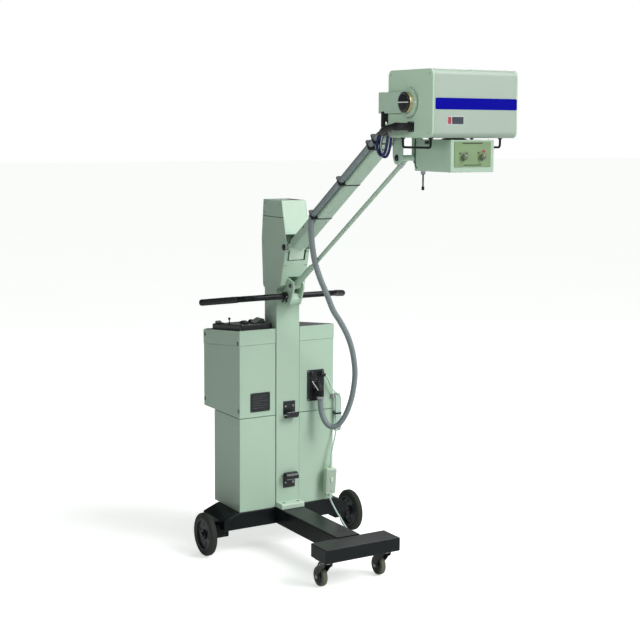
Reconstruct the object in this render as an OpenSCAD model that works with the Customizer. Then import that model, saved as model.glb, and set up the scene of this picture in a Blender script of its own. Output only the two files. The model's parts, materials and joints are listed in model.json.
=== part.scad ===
// Mobile bedside X-ray unit: a wheeled cart with a column, a parallelogram arm
// and a box-shaped tube head with a collimator.
// Millimetres. +Z is up, the floor is z = 0, the leg and the arm point to -Y,
// and the origin is on the floor at the middle of the unit's length and width.

/* [Cart] */
// Width of the cabinet
cabinet_w = 456; // [440:2:470]
// Depth of the lower cabinet
lower_d = 236; // [225:1:245]
// Depth of the upper cabinet
upper_d = 336; // [325:1:345]
// Height of the chassis top, where the cabinet stands
base_z = 178; // [176:1:180]
// Height of the seam between the lower and the upper cabinet
seam_z = 576; // [560:1:590]
// Height of the cabinet's top edge at the front
top_front_z = 946; // [935:1:955]
// Drop of the cabinet's top from front to back
top_drop = 34; // [30:1:38]
// Length of the leg ahead of the column
leg_len = 487; // [470:1:500]
// Width of the leg
leg_w = 108; // [100:2:112]
// Width of the front cross beam
front_w = 344; // [336:2:350]
// Radius of the rear wheels
wheel_r = 90; // [88:1:92]
// Width of the rear tyres
tyre_w = 28; // [24:1:30]
// Distance from the middle plane to the middle of a rear wheel
wheel_x = 357; // [355:1:362]
// Radius of the caster wheels
caster_r = 40; // [38:1:40]

/* [Column] */
// Width of the column
column_w = 112; // [110:1:114]
// Depth of the column
column_d = 104; // [100:1:108]
// Height of the arm's pivot
pivot_z = 1292; // [1290:1:1294]
// Height of the handlebar
bar_z = 1085; // [1083:1:1087]

/* [Arm] */
// Length of the arm from pivot to pivot
arm_len = 968; // [960:1:975]
// Angle of the arm above the horizontal
arm_angle = 34.26; // [33:0.01:36]
// Width of the arm tube
arm_w = 68; // [66:1:68]
// Height of the arm tube
arm_h = 40; // [38:1:40]
// Height from the link rod's pivots to the arm's pivots
link_drop = 160; // [158:1:162]

/* [Tube head] */
// Length of the tube head
head_len = 355; // [350:1:355]
// Depth of the tube head
head_d = 260; // [256:1:262]
// Height of the tube head
head_h = 227; // [220:1:230]
// Width of the collimator
coll_w = 181; // [175:1:185]
// Depth of the collimator
coll_d = 208; // [200:1:212]
// Height of the collimator
coll_h = 108; // [100:1:112]

/* [Cords] */
// Diameter of the head's cable hose
hose_d = 24; // [22:1:25]
// Diameter of the mains lead
lead_d = 7; // [6:0.5:8]

/* [Hidden] */
$fn = 48;

// Finishes
GREEN = "#b4cdbb";
GREEN_SIDE = "#6b7e73";
BLACK = "#262d2d";
GREY = "#79878a";
CREAM = "#d2e0d0";
STEEL = "#b9bcbe";
BRASS = "#b8a468";
LEAD_COL = "#cfe3d8";

// Cart
beam_z = 108;
shoulder_z = 150;
chassis_w = 604;
chassis_d = 200;
axle_y = 66;
axle_r = 8;
leg_z0 = 106;
leg_z1 = 177;
front_y = -leg_len;
front_d = 113;
front_z0 = 119;
front_z1 = 173;
caster_x = 136;
caster_y = front_y - front_d / 2;
caster_trail = 42;
stem_r = 8;
fit = 0.05;
skin = 2.5;
face_y = 4;
band_h = 62;
notch_w = column_w + 4;
slope = top_drop / upper_d;

// Column and housing
hood_x = 58;
hood_top = 1484;
ledge_z = 1283;
slot_top = 1346;
nose = [-86, 1312];
chin = [-38, 1131];
pivot_y = -66;
pin_r = 8;
cheek_x = 35.7;
link_z = pivot_z - link_drop;

// Arm and tube head
tip_y = pivot_y - arm_len * cos(arm_angle);
tip_z = pivot_z + arm_len * sin(arm_angle);
trunnion_y = -1133;
trunnion_z = tip_z + 32;
head_x = head_len / 2;
head_z0 = trunnion_z - 118;
yoke_back = -948;
yoke_x = head_x + 2;
yoke_t = 8;
yoke_h = 72;
coll_y = -1145;
coll_z1 = head_z0 - 6;
coll_z0 = coll_z1 - coll_h;
origin_y = (head_d / 2 - trunnion_y - face_y - upper_d) / 2;
lead_r = lead_d / 2;
hose_r = hose_d / 2;
hose_x = -arm_w / 2 - hose_r - 2;
hose_s0 = 250;
hose_s1 = 811;

// Mains lead: where its coil and its hank lie
coil_c = [236, -122];
coil_r = 5.5 * lead_d;
hank_c = [246, 4, 560];

// Route of the cable hose from its gland on the cabinet to the arm
HOSE_LOOP = [
    [142, -30, 640], [142, -30, 620], [142, -33, 598], [144, -42, 570], [150, -56, 540],
    [163, -74, 522], [182, -92, 522], [202, -108, 540], [219, -122, 580], [230, -136, 640],
    [234, -152, 710], [226, -168, 790], [204, -184, 866], [168, -198, 930],
    [122, -212, 990], [76, -226, 1055], [34, -238, 1125], [0, -248, 1195],
    [-26, -256, 1262], [-42, -261, 1325], [-48, -264, 1380], [-48, -266, 1402],
    [-48, -269, 1420.5]
];

// Route of the cable hose from the arm to the elbow on the tube head
HEAD_HOSE = [
    [-48, -739.5, 1750.8], [-50, -757, 1762], [-56, -783, 1771], [-66, -812, 1777],
    [-77, -845, 1782], [-86, -880, 1786], [-95, -910, 1788], [-110, -935, 1789],
    [-132, -952, 1789], [-158, -966, 1789], [-182, -982, 1790], [-200, -1006, 1790],
    [-210, -1036, 1790], [-213, -1070, 1789], [-212, -1098, 1788], [-212, -1121, 1788]
];

// Route of the signal cable's spare loop below the arm's upper end
SIGNAL_LOOP = [
    [-64, -797, 1757], [-66, -793, 1735], [-68, -792, 1712], [-66, -799, 1692],
    [-64, -810, 1680], [-62, -822, 1682], [-61, -833, 1696], [-61, -842, 1716],
    [-63, -851, 1738], [-67, -858, 1756], [-71, -862, 1765]
];

// Route of the mains lead from the socket plate to its hank, and on to the switch box
LEAD_A = [
    [176, -6, 728], [184, -11, 722], [194, -13, 706], [204, -13, 686], [213, -13, 666],
    [222, -12, 650], [232, -8, 642], [240, -2, 640]
];
LEAD_B = [
    [240, -10, 480], [232, -14, 468], [222, -15, 448], [213, -16, 425], [207, -18, 400],
    [203, -20, 375], [201, -22, 350], [200, -24, 322]
];
// Route of the mains lead from the switch box down to its coil on the floor
LEAD_C = [
    [192, -24, 210], [196, -24, 192], [206, -23, 170], [220, -21, 145], [236, -20, 118],
    [254, -20, 90], [270, -22, 62], [285, -28, 37], [297, -40, 17], [304, -57, 6],
    [305, -78, 3.5], [300, -98, 3.5], [290, -112, 3.5], [280, -126, 3.5]
];

// --- helpers -------------------------------------------------------------

// Every node is drawn with y = 0 on the column's front face, and moved to the origin here
module placed() {
    translate([0, origin_y, 0]) children();
}

// Extrudes an outline given in (y, z) along X from x0 to x1
module along_x(x0, x1) {
    translate([x0, 0, 0]) rotate([90, 0, 90]) linear_extrude(x1 - x0) children();
}

// Extrudes an outline given in (x, z) along Y from y0 to y1
module along_y(y0, y1) {
    translate([0, y1, 0]) rotate([90, 0, 0]) linear_extrude(y1 - y0) children();
}

// A box given by its lowest and highest corners
module block(a, b) {
    translate(a) cube(b - a);
}

// A round bar along X
module bar_x(x0, x1, y, z, r) {
    translate([x0, y, z]) rotate([0, 90, 0]) cylinder(h = x1 - x0, r = r);
}

// A round bar along Y
module bar_y(y0, y1, x, z, r) {
    translate([x, y0, z]) rotate([-90, 0, 0]) cylinder(h = y1 - y0, r = r);
}

// A round bar along Z
module bar_z(z0, z1, x, y, r) {
    translate([x, y, z0]) cylinder(h = z1 - z0, r = r);
}

// Puts children given along the arm (x across, y along it, z square to it) in place
module on_arm(y0, z0) {
    translate([0, y0, z0]) rotate([-arm_angle, 0, 0]) mirror([0, 1, 0]) children();
}

function unit(v) = v / norm(v);
function heading(p, i) = unit(p[min(i + 1, len(p) - 1)] - p[max(i - 1, 0)]);
function ring(c, t, r, n, guide) =
    let (u = unit(cross(t, guide)), w = cross(t, u))
    [for (k = [0 : n - 1]) c + r * cos(360 * k / n) * u + r * sin(360 * k / n) * w];

// A round tube swept along a route as one closed solid. No stretch runs along guide.
module sweep_tube(route, r, n, guide) {
    m = len(route);
    points = [for (i = [0 : m - 1]) each ring(route[i], heading(route, i), r, n, guide)];
    sides = [
        for (i = [0 : m - 2], k = [0 : n - 1])
            [i * n + k, i * n + (k + 1) % n, (i + 1) * n + (k + 1) % n, (i + 1) * n + k]
    ];
    start = [[for (k = [0 : n - 1]) n - 1 - k]];
    finish = [[for (k = [0 : n - 1]) (m - 1) * n + k]];
    polyhedron(points = points, faces = concat(start, sides, finish), convexity = 6);
}

// --- cart ----------------------------------------------------------------

module chassis() {
    half = chassis_w / 2;
    placed() color(BLACK) difference() {
        union() {
            along_y(0, chassis_d) polygon([
                [-half, beam_z], [half, beam_z], [half, shoulder_z],
                [cabinet_w / 2 + 4, base_z], [-cabinet_w / 2 - 4, base_z], [-half, shoulder_z]
            ]);
            for (s = [-1, 1]) {
                translate([s * (half - 12), axle_y, 100]) cube([56, 60, 52], center = true);
                bar_x(min(s * 280, s * (wheel_x + 16)), max(s * 280, s * (wheel_x + 16)),
                      axle_y, wheel_r, axle_r);
                bar_x(min(s * (wheel_x + 15), s * (wheel_x + 18)),
                      max(s * (wheel_x + 15), s * (wheel_x + 18)), axle_y, wheel_r, 12);
            }
        }
        for (x = [-172, 0, 172]) {
            translate([x, chassis_d / 2, beam_z + 25]) cube([152, chassis_d - 16, 75], center = true);
        }
    }
}

module leg_beam() {
    wall = 5;
    placed() color(BLACK) difference() {
        block([-leg_w / 2, front_y, leg_z0], [leg_w / 2, 0, leg_z1]);
        block([-leg_w / 2 + wall, front_y - 1, leg_z0 + wall], [leg_w / 2 - wall, 1, leg_z1 - wall]);
    }
}

module front_beam() {
    y0 = front_y - front_d;
    placed() color(BLACK) difference() {
        block([-front_w / 2, y0, front_z0], [front_w / 2, front_y, front_z1]);
        for (x = [-56, 56]) {
            block([x - 50, y0 + 8, front_z0 - 1], [x + 50, front_y - 8, front_z1 - 8]);
        }
        for (x = [-caster_x, caster_x]) {
            bar_z(front_z0 - 1, front_z0 + 38, x, caster_y, stem_r + fit);
        }
    }
}

module foot_bracket() {
    placed() color(CREAM) along_x(-leg_w / 2, leg_w / 2) polygon([
        [0, leg_z1 + 1], [-50, leg_z1 + 1], [-50, leg_z1 + 18], [-46, leg_z1 + 22],
        [0, leg_z1 + 22]
    ]);
}

// Screws and bolts that hold the covers, the foot bracket and the hooks
module fixings() {
    side_y = [face_y + 16, upper_d - 12];
    placed() color(STEEL) {
        for (x = [-34, 34]) bar_z(leg_z1 + 22, leg_z1 + 30, x, -24, 9);
        for (s = [-1, 1], y = side_y, z = [seam_z + 24, 858]) {
            bar_x(min(s * 228, s * 230.5), max(s * 228, s * 230.5), y,
                  z + (z > 800 ? 18 - y * slope : 0), 5);
        }
        for (x = [-10, 22], z = [622, 268]) bar_y(-5, -3, x, z, 4);
        for (x = [-200, 200], z = [200, 552, 604, 828]) {
            bar_y(z < seam_z ? 240 : 340, z < seam_z ? 242 : 342, x, z, 4);
        }
    }
}

module column() {
    wall = 4;
    half = column_w / 2;
    placed() color(GREEN) difference() {
        union() {
            difference() {
                block([-half, 0, base_z], [half, column_d, 1440]);
                block([-half + wall, wall, base_z - 1], [half - wall, column_d - wall, 1441]);
            }
            for (s = [-1, 1]) translate([s * (cheek_x + 3), 0, 0]) along_x(-3, 3) {
                polygon([[1, 1240], [1, 1344], [pivot_y + 4, pivot_z + 16],
                         [pivot_y - 14, pivot_z + 8], [pivot_y - 14, pivot_z - 10],
                         [pivot_y + 4, pivot_z - 16]]);
            }
        }
        bar_x(-60, 60, pivot_y, pivot_z, pin_r + fit);
    }
}

// An open-backed sheet box with a notch for the column
module cabinet_shell(outline, inset, z_open) {
    half = cabinet_w / 2;
    difference() {
        along_x(-half, half) polygon(outline);
        along_x(-half + skin, half - skin) polygon(inset);
        block([-notch_w / 2, -10, z_open - 1], [notch_w / 2, column_d + 4, 1000]);
    }
}

module lower_cabinet() {
    back = face_y + lower_d;
    top = seam_z - 1.5;
    placed() color(GREEN) cabinet_shell(
        [[face_y, base_z], [back, base_z], [back, top], [face_y, top]],
        [[face_y + skin, base_z + skin], [back + 1, base_z + skin], [back + 1, top + 1],
         [face_y + skin, top + 1]], base_z);
}

function rim_z(y) = top_front_z - band_h - (y - face_y) * slope;

module upper_cabinet() {
    back = face_y + upper_d;
    z0 = seam_z + 1.5;
    placed() color(GREEN) cabinet_shell(
        [[face_y, z0], [back, z0], [back, rim_z(back)], [face_y, rim_z(face_y)]],
        [[face_y + skin, z0 + skin], [back + 1, z0 + skin], [back + 1, 960],
         [face_y + skin, 960]], z0);
}

module cabinet_band() {
    half = cabinet_w / 2 + 1.5;
    y0 = face_y - 1.5;
    y1 = face_y + upper_d + 1.5;
    z0 = rim_z(y0);
    z1 = rim_z(y1);
    placed() color(GREEN) difference() {
        along_x(-half, half) polygon([
            [y0, z0], [y1, z1], [y1, z1 + band_h], [y0, z0 + band_h]
        ]);
        block([-half + 3, y0 + 3, 800], [half - 3, y1 - 3, 1000]);
        block([-notch_w / 2, -10, 800], [notch_w / 2, column_d + 4, 1000]);
    }
}

function lid_z(y) = rim_z(y) + band_h;
// Top of the raised console on the lid
function panel_z(y) = lid_z(y) + 23;

// The control panel: a sloping lid with a raised console and a meter housing on it
module control_panel() {
    half = cabinet_w / 2 - 4;
    y0 = face_y + 3;
    y1 = face_y + upper_d - 3;
    placed() color(BLACK) difference() {
        union() {
            along_x(-half, half) polygon([
                [y0, lid_z(y0) - 6], [y1, lid_z(y1) - 6], [y1, lid_z(y1) + 1.5],
                [y0, lid_z(y0) + 1.5]
            ]);
            along_x(-204, -62) polygon([
                [30, lid_z(30) - 4], [305, lid_z(305) - 4], [305, panel_z(305)],
                [30, panel_z(30)]
            ]);
            along_y(48, 104) polygon([
                [-128, 940], [-128, 964], [-98, 983], [-87, 983], [-78, 952], [-78, 940]
            ]);
        }
        block([-notch_w / 2, -10, 800], [notch_w / 2, column_d + 4, 1000]);
        bar_z(panel_z(62) - 18, 1000, -175, 62, 3 + fit);
        bar_z(panel_z(126) - 18, 1000, -108, 126, 3 + fit);
        block([-197, 161, 900], [-183, 179, 1000]);
        block([-199, 254, 900], [-171, 292, 1000]);
    }
}

module rear_covers() {
    half = cabinet_w / 2 - skin - 0.5;
    placed() color(GREEN) {
        block([-half, face_y + lower_d - 2, base_z + 4], [half, face_y + lower_d, seam_z - 3]);
        block([-half, face_y + upper_d - 2, seam_z + 6], [half, face_y + upper_d, 846]);
    }
}

// Black plates on the cabinet's front: a blank label plate and a socket plate
module front_plates() {
    placed() color(BLACK) {
        block([-177, 1, 600], [-85, face_y, 680]);
        block([97, 1, 620], [179, face_y, 754]);
        bar_y(-9, 1, 166, 728, 11);
        bar_y(-14, 1, 118, 728, 13);
        bar_y(-10, 1, 118, 668, 10);
        along_y(-24, 1) polygon([[160, 664], [192, 664], [192, 690], [160, 690]]);
    }
}

// The elbow that brings the cable hose out of the socket plate
module hose_gland() {
    bend = 30;
    placed() color(BLACK) {
        translate([142, 0, 690 - bend]) rotate([0, -90, 0]) mirror([0, 1, 0])
            rotate_extrude(angle = 90) translate([bend, 0]) circle(r = 15);
        bar_z(640, 690 - bend, 142, -bend, 15);
        bar_y(-6, 1, 142, 690, 19);
    }
}

// One cord hook: a plate on the column with a strip curled forward, seen from its side
module hook_outline() {
    polygon([[-3, 0], [0, 0], [0, 56], [-3, 56]]);
    difference() {
        translate([-18, 4]) circle(r = 18);
        translate([-18, 4]) circle(r = 15);
        translate([-40, 4]) square([44, 30]);
    }
    translate([-36, 3]) square([3, 22]);
}

module cord_hooks() {
    placed() color(BLACK) {
        along_x(-22, 34) translate([0, 576]) hook_outline();
        along_x(-22, 34) translate([0, 314]) mirror([0, 1]) hook_outline();
        bar_x(228, 262, 4, 632, 5);
        bar_x(260, 263, 4, 632, 9);
    }
}

module power_unit() {
    placed() color(GREY) {
        block([-190, 114, base_z + 4], [-30, 214, 322]);
        block([30, 114, base_z + 4], [190, 214, 382]);
        block([-170, 122, seam_z + 24], [170, 302, 720]);
    }
}

// --- mains lead ----------------------------------------------------------

module lead_upper() {
    placed() color(LEAD_COL) {
        sweep_tube(LEAD_A, lead_r, 8, [0, 1, 0]);
        sweep_tube(LEAD_B, lead_r, 8, [0, 1, 0]);
    }
}

// The folded part of the lead that hangs on its peg
module lead_hank() {
    w = 26;
    h = 80;
    placed() color(LEAD_COL) translate([232, 0, 0]) along_x(0, 26) translate([hank_c[1], hank_c[2]]) difference() {
        union() {
            translate([-w / 2, -h + w / 2]) square([w, 2 * h - w]);
            for (s = [-1, 1]) translate([0, s * (h - w / 2)]) circle(r = w / 2);
        }
        translate([0, 72]) circle(r = 5.2);
    }
}

module inline_box() {
    placed() color(CREAM) translate([196, -24, 266]) rotate([0, 4, 0]) {
        cube([50, 26, 112], center = true);
    }
}

module lead_lower() {
    placed() color(LEAD_COL) sweep_tube(LEAD_C, lead_r, 8, [1, -1, 0]);
}

module lead_coil() {
    placed() color(LEAD_COL) translate([coil_c[0], coil_c[1], 0]) rotate_extrude($fn = 64)
        translate([coil_r - lead_d, 0]) square([2 * lead_d, 3 * lead_d]);
}

// The mains plug, lying beside the coil
module mains_plug() {
    placed() color(CREAM) translate([150, -148, 0]) {
        block([-22, -18, 0], [22, 18, 26]);
        bar_x(22, 40, 0, 13, 8);
        for (y = [-9.5, 9.5]) bar_x(-41, -22, y, 13, 2.4);
    }
}

module hose_loop() {
    placed() color(GREY) sweep_tube(HOSE_LOOP, hose_r, 12, [0, 1, 0]);
}

// --- wheels --------------------------------------------------------------

module tyre(s) {
    half = tyre_w / 2;
    placed() color("#3a4038") translate([s * wheel_x, axle_y, wheel_r]) rotate([0, 90, 0])
        rotate_extrude($fn = 96) polygon([
            [wheel_r - 24, -half], [wheel_r - 6, -half], [wheel_r - 1.5, -half + 5],
            [wheel_r, -half + 10], [wheel_r, half - 10], [wheel_r - 1.5, half - 5],
            [wheel_r - 6, half], [wheel_r - 24, half]
        ]);
}

module hub(s) {
    half = tyre_w / 2;
    rim = wheel_r - 24;
    placed() color(BLACK) translate([s * wheel_x, axle_y, wheel_r]) rotate([0, 90, 0])
        rotate_extrude($fn = 96) polygon([
            [axle_r + fit, -half], [20, -half], [20, -5], [rim - 8, -5], [rim - 8, -half + 1],
            [rim, -half + 1], [rim, half - 1], [rim - 8, half - 1], [rim - 8, 5], [20, 5],
            [20, half], [axle_r + fit, half]
        ]);
}

module tyre_left() { tyre(-1); }
module tyre_right() { tyre(1); }
module hub_left() { hub(-1); }
module hub_right() { hub(1); }

// A swivelling caster fork with its stem and the wheel's axle
module caster_fork(s) {
    drop = front_z0 - 1;
    placed() color(BLACK) translate([s * caster_x, caster_y, 0]) {
        bar_z(drop - 8, front_z0 + 36, 0, 0, stem_r);
        bar_z(drop - 7, drop, 0, 0, 16);
        bar_z(drop - 14, drop - 7, 0, 0, 23);
        for (x = [-19, 13]) along_x(x, x + 6) polygon([
            [-20, drop - 8], [20, drop - 8], [caster_trail + 12, caster_r + 8],
            [caster_trail + 12, caster_r - 10], [caster_trail - 12, caster_r - 10],
            [caster_trail - 14, caster_r + 10], [-16, drop - 26]
        ]);
        bar_x(-20, 20, caster_trail, caster_r, 4);
    }
}

module caster_wheel(s) {
    placed() color("#4b5048") translate([s * caster_x, caster_y + caster_trail, caster_r])
        rotate([0, 90, 0]) rotate_extrude($fn = 64) polygon([
            [4 + fit, -12], [10, -12], [12, -9], [caster_r - 12, -9], [caster_r - 10, -11],
            [caster_r - 3, -11], [caster_r, -7], [caster_r, 7], [caster_r - 3, 11],
            [caster_r - 10, 11], [caster_r - 12, 9], [12, 9], [10, 12], [4 + fit, 12]
        ]);
}

module caster_fork_left() { caster_fork(-1); }
module caster_fork_right() { caster_fork(1); }
module caster_wheel_left() { caster_wheel(-1); }
module caster_wheel_right() { caster_wheel(1); }

// --- column head ---------------------------------------------------------

// The front edge of the housing above its nose, at height z
function brow_y(z) = nose[0] + (z - nose[1]) * (-45 - nose[0]) / (hood_top - nose[1]);
// The front edge of the housing below its nose, at height z
function jaw_y(z) = nose[0] + (nose[1] - z) * (chin[0] - nose[0]) / (nose[1] - chin[1]);

module housing_shell() {
    placed() color(GREEN) {
        for (s = [-1, 1]) translate([s * (hood_x - 0.9), 0, 0]) along_x(-0.9, 0.9) difference() {
            polygon([
                [-5, 1111], [106, 1111], [114, 1124], [126, 1315], [110, hood_top],
                [-45, hood_top], nose, chin
            ]);
            translate([pivot_y, pivot_z]) circle(r = pin_r + fit);
        }
        along_x(-hood_x + 1.5, hood_x - 1.5) polygon([
            [106, 1111], [114, 1124], [126, 1315], [110, hood_top], [108, hood_top],
            [124, 1315], [112, 1125], [104.5, 1112]
        ]);
    }
}

module housing_front() {
    t = 2;
    half = hood_x - 2;
    placed() color(GREEN) {
        along_x(-half, half) polygon([
            [brow_y(hood_top), hood_top], [brow_y(slot_top), slot_top],
            [brow_y(slot_top) + t, slot_top], [brow_y(hood_top) + t, hood_top]
        ]);
        difference() {
            along_x(-half, half) polygon([
                [jaw_y(ledge_z) - 3, ledge_z], [jaw_y(ledge_z) - 3, ledge_z - 4],
                [jaw_y(ledge_z - 4), ledge_z - 4], chin, [-5, 1111], [-3, 1112],
                [chin[0] + t, 1132], [jaw_y(ledge_z) + t, ledge_z]
            ]);
            block([-42.5, -100, ledge_z - 47], [42.5, -40, ledge_z + 1]);
            block([-33, -100, 1105], [33, -2, 1167]);
        }
    }
}

module housing_cap() {
    placed() color(BLACK) block([-hood_x + 2.5, -40, hood_top - 10], [hood_x - 2.5, 107, hood_top - 4]);
}

module pivot_pins() {
    placed() color(BLACK) {
        bar_x(-hood_x - 1, hood_x + 1, pivot_y, pivot_z, pin_r);
        for (s = [-1, 1]) translate([s * (hood_x + 2), 0, 0]) bar_x(-2, 2, pivot_y, pivot_z, 14);
        bar_x(-32, 32, pivot_y, link_z, 6);
        for (s = [-1, 1]) translate([s * 30, 0, 0]) bar_x(-3, 3, pivot_y, link_z, 9);
    }
}

module link_bracket() {
    placed() color(GREEN) difference() {
        union() {
            block([-32, -6, 1048], [32, 0, 1166]);
            for (s = [-1, 1]) translate([s * 23, 0, 0]) along_x(-4, 4) polygon([
                [-4, 1164], [-34, 1164], [-90, 1146], [-92, 1120], [-62, 1050], [-4, 1050]
            ]);
            along_x(-20, 20) polygon([[-4, 1054], [-60, 1054], [-68, 1072], [-64, 1098], [-4, 1112]]);
        }
        bar_x(-40, 40, pivot_y, link_z, 6 + fit);
        bar_x(-40, 40, -35, bar_z, 12.5 + fit);
    }
}

// The push bar: a straight middle and two swept-back grips
module handlebar() {
    bend = [200, -35, bar_z];
    tip = [341, 119, bar_z - 25];
    reach = tip - bend;
    swing = atan2(reach[1], reach[0]);
    dip = acos(reach[2] / norm(reach));
    placed() color(BLACK) {
        bar_x(-bend[0] - 8, bend[0] + 8, bend[1], bend[2], 12.5);
        for (s = [0, 1]) mirror([s, 0, 0]) {
            translate(bend) rotate([0, dip, swing]) cylinder(h = norm(reach) + 12, r = 13.5);
        }
        for (s = [-1, 1]) translate([s * 36, 0, 0]) bar_x(-8, 8, bend[1], bend[2], 18);
    }
}

// --- arm -----------------------------------------------------------------

module arm_tube() {
    wall = 3;
    half = arm_w / 2;
    placed() color(GREEN) difference() {
        union() {
            on_arm(pivot_y, pivot_z) difference() {
                block([-half, 24, -arm_h / 2], [half, arm_len - 24, arm_h / 2]);
                block([-half + wall, 30, -arm_h / 2 + wall], [half - wall, arm_len - 30, arm_h / 2 - wall]);
            }
            on_arm(pivot_y, pivot_z) block([-half, 4, -12], [half, 26, 12]);
            on_arm(pivot_y, pivot_z) block([-half, arm_len - 26, -12], [half, arm_len - 4, 12]);
            bar_x(-half - 1, half + 1, pivot_y, pivot_z, 15);
            bar_x(-half - 1, half + 1, tip_y, tip_z, 17);
            along_x(-half, half) polygon([
                [jaw_y(ledge_z), ledge_z], [jaw_y(ledge_z - 44), ledge_z - 44],
                [jaw_y(ledge_z - 44) + 3, ledge_z - 44], [pivot_y, pivot_z - 4]
            ]);
        }
        bar_x(-60, 60, pivot_y, pivot_z, pin_r + fit);
        bar_x(-60, 60, tip_y, tip_z, pin_r + fit);
    }
}

module arm_hose() {
    placed() color(GREY) on_arm(pivot_y, pivot_z) translate([hose_x, hose_s0, 0]) rotate([-90, 0, 0])
        cylinder(h = hose_s1 - hose_s0, r = hose_r);
}

// Straps that hold the hose against the arm
module hose_ties() {
    out = arm_w / 2 + 1.6;
    placed() color(BLACK) on_arm(pivot_y, pivot_z) for (s = [262, 512, 760, 800]) difference() {
        block([hose_x - hose_r - 1.6, s - 3, -arm_h / 2 - 1.6], [out, s + 3, arm_h / 2 + 1.6]);
        block([-arm_w / 2, s - 4, -arm_h / 2], [arm_w / 2, s + 4, arm_h / 2]);
        translate([hose_x, s - 4, 0]) rotate([-90, 0, 0]) cylinder(h = 8, r = hose_r);
    }
}

// The counterbalance spring inside the arm, as the sleeve that its coils fill
module balance_spring() {
    placed() color(STEEL) on_arm(pivot_y, pivot_z) difference() {
        translate([0, 120, 0]) rotate([-90, 0, 0]) cylinder(h = 460, r = 15);
        translate([0, 119, 0]) rotate([-90, 0, 0]) cylinder(h = 462, r = 11);
    }
}

module link_rod() {
    placed() color(GREEN) {
        on_arm(pivot_y, link_z) {
            translate([0, 12, 0]) rotate([-90, 0, 0]) cylinder(h = 150, r = 12.5);
            translate([0, 150, 0]) rotate([-90, 0, 0]) cylinder(h = arm_len - 160, r = 8.5);
        }
        difference() {
            bar_x(-18.6, 18.6, pivot_y, link_z, 15);
            bar_x(-40, 40, pivot_y, link_z, 6 + fit);
        }
        difference() {
            bar_x(-36.4, 36.4, tip_y, tip_z - link_drop, 11);
            bar_x(-60, 60, tip_y, tip_z - link_drop, 6.4);
        }
    }
}

// --- head bracket --------------------------------------------------------

module end_bracket() {
    low = tip_z - link_drop;
    placed() color(GREEN) {
        difference() {
            union() {
                for (s = [-1, 1]) translate([s * 41.5, 0, 0]) along_x(-4.5, 4.5) polygon([
                    [tip_y - 24, trunnion_z + 32], [tip_y + 22, trunnion_z + 32],
                    [tip_y + 28, tip_z], [tip_y + 27, low], [tip_y + 12, low - 24],
                    [tip_y - 14, low - 24], [tip_y - 28, low], [tip_y - 36, trunnion_z - 32],
                    [tip_y - 70, trunnion_z - 32], [tip_y - 70, trunnion_z + 32]
                ]);
                block([-46, tip_y - 76, trunnion_z - 32], [46, tip_y - 34, trunnion_z + 32]);
            }
            bar_y(tip_y - 80, tip_y - 30, 0, trunnion_z, 15 + fit);
        }
        bar_x(-45, 45, tip_y, low, 6);
        for (s = [-1, 1]) translate([s * 47.5, 0, 0]) bar_x(-1.8, 1.8, tip_y, low, 12);
        bar_x(-58, 50, tip_y, tip_z, pin_r);
        bar_x(46, 52, tip_y, tip_z, 14);
    }
    placed() color(BLACK) {
        difference() {
            block([-98, tip_y - 12, 1764], [-45, tip_y, 1787]);
            bar_y(tip_y - 14, tip_y + 2, -83, 1785, hose_r - 1);
        }
    }
}

// The round lock knob on the arm's end pivot
module arm_lock_knob() {
    placed() color(BLACK) difference() {
        union() {
            bar_x(-71, -50, tip_y, tip_z, 42);
            bar_x(-50, -46.8, tip_y, tip_z, 20);
        }
        bar_x(-60, -40, tip_y, tip_z, pin_r + fit);
    }
}

module head_hose() {
    placed() color(GREY) sweep_tube(HEAD_HOSE, hose_r, 12, [0, 0, 1]);
    placed() color("#1b2a5a") sweep_tube(SIGNAL_LOOP, 6, 10, [1, 0, 0]);
}

// --- yoke and tube head --------------------------------------------------

module yoke() {
    out = yoke_x + yoke_t;
    z0 = trunnion_z - yoke_h / 2;
    placed() color(GREEN) difference() {
        union() {
            translate([0, 0, z0]) linear_extrude(yoke_h) polygon([
                [-out, trunnion_y], [-yoke_x, trunnion_y], [-yoke_x, yoke_back - 12],
                [yoke_x, yoke_back - 12], [yoke_x, trunnion_y], [out, trunnion_y],
                [out, yoke_back - 14], [out - 4, yoke_back - 4], [out - 14, yoke_back],
                [-out + 14, yoke_back], [-out + 4, yoke_back - 4], [-out, yoke_back - 14]
            ]);
            for (s = [-1, 1]) translate([s * (yoke_x + yoke_t / 2), 0, 0])
                bar_x(-yoke_t / 2, yoke_t / 2, trunnion_y, trunnion_z, 50);
            bar_y(yoke_back - 1, tip_y - 40, 0, trunnion_z, 15);
        }
        bar_x(-210, 210, trunnion_y, trunnion_z, 10 + fit);
    }
    placed() color(BLACK) block([-yoke_x - yoke_t - 4, -994, 1804], [-yoke_x, -980, trunnion_z - 35]);
}

module tilt_dials() {
    x0 = yoke_x + yoke_t;
    for (s = [0, 1]) mirror([s, 0, 0]) {
        placed() color(BRASS) difference() {
            bar_x(x0, x0 + 12, trunnion_y, trunnion_z, 35);
            bar_x(x0 - 1, x0 + 13, trunnion_y, trunnion_z, 12);
        }
        placed() color(BLACK) bar_x(x0 + 12, x0 + 18, trunnion_y, trunnion_z, 34);
    }
}

// A rounded block along X, centred on the head's middle
module head_block(x0, x1, grow) {
    r = 20;
    mid = [trunnion_y, head_z0 + head_h / 2];
    dy = head_d / 2 - r;
    dz = head_h / 2 - r;
    hull() for (a = [-1, 1], b = [-1, 1])
        translate([x0, mid[0] + a * dy, mid[1] + b * dz]) rotate([0, 90, 0])
            cylinder(h = x1 - x0, r = r + grow, $fn = 32);
}

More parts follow.
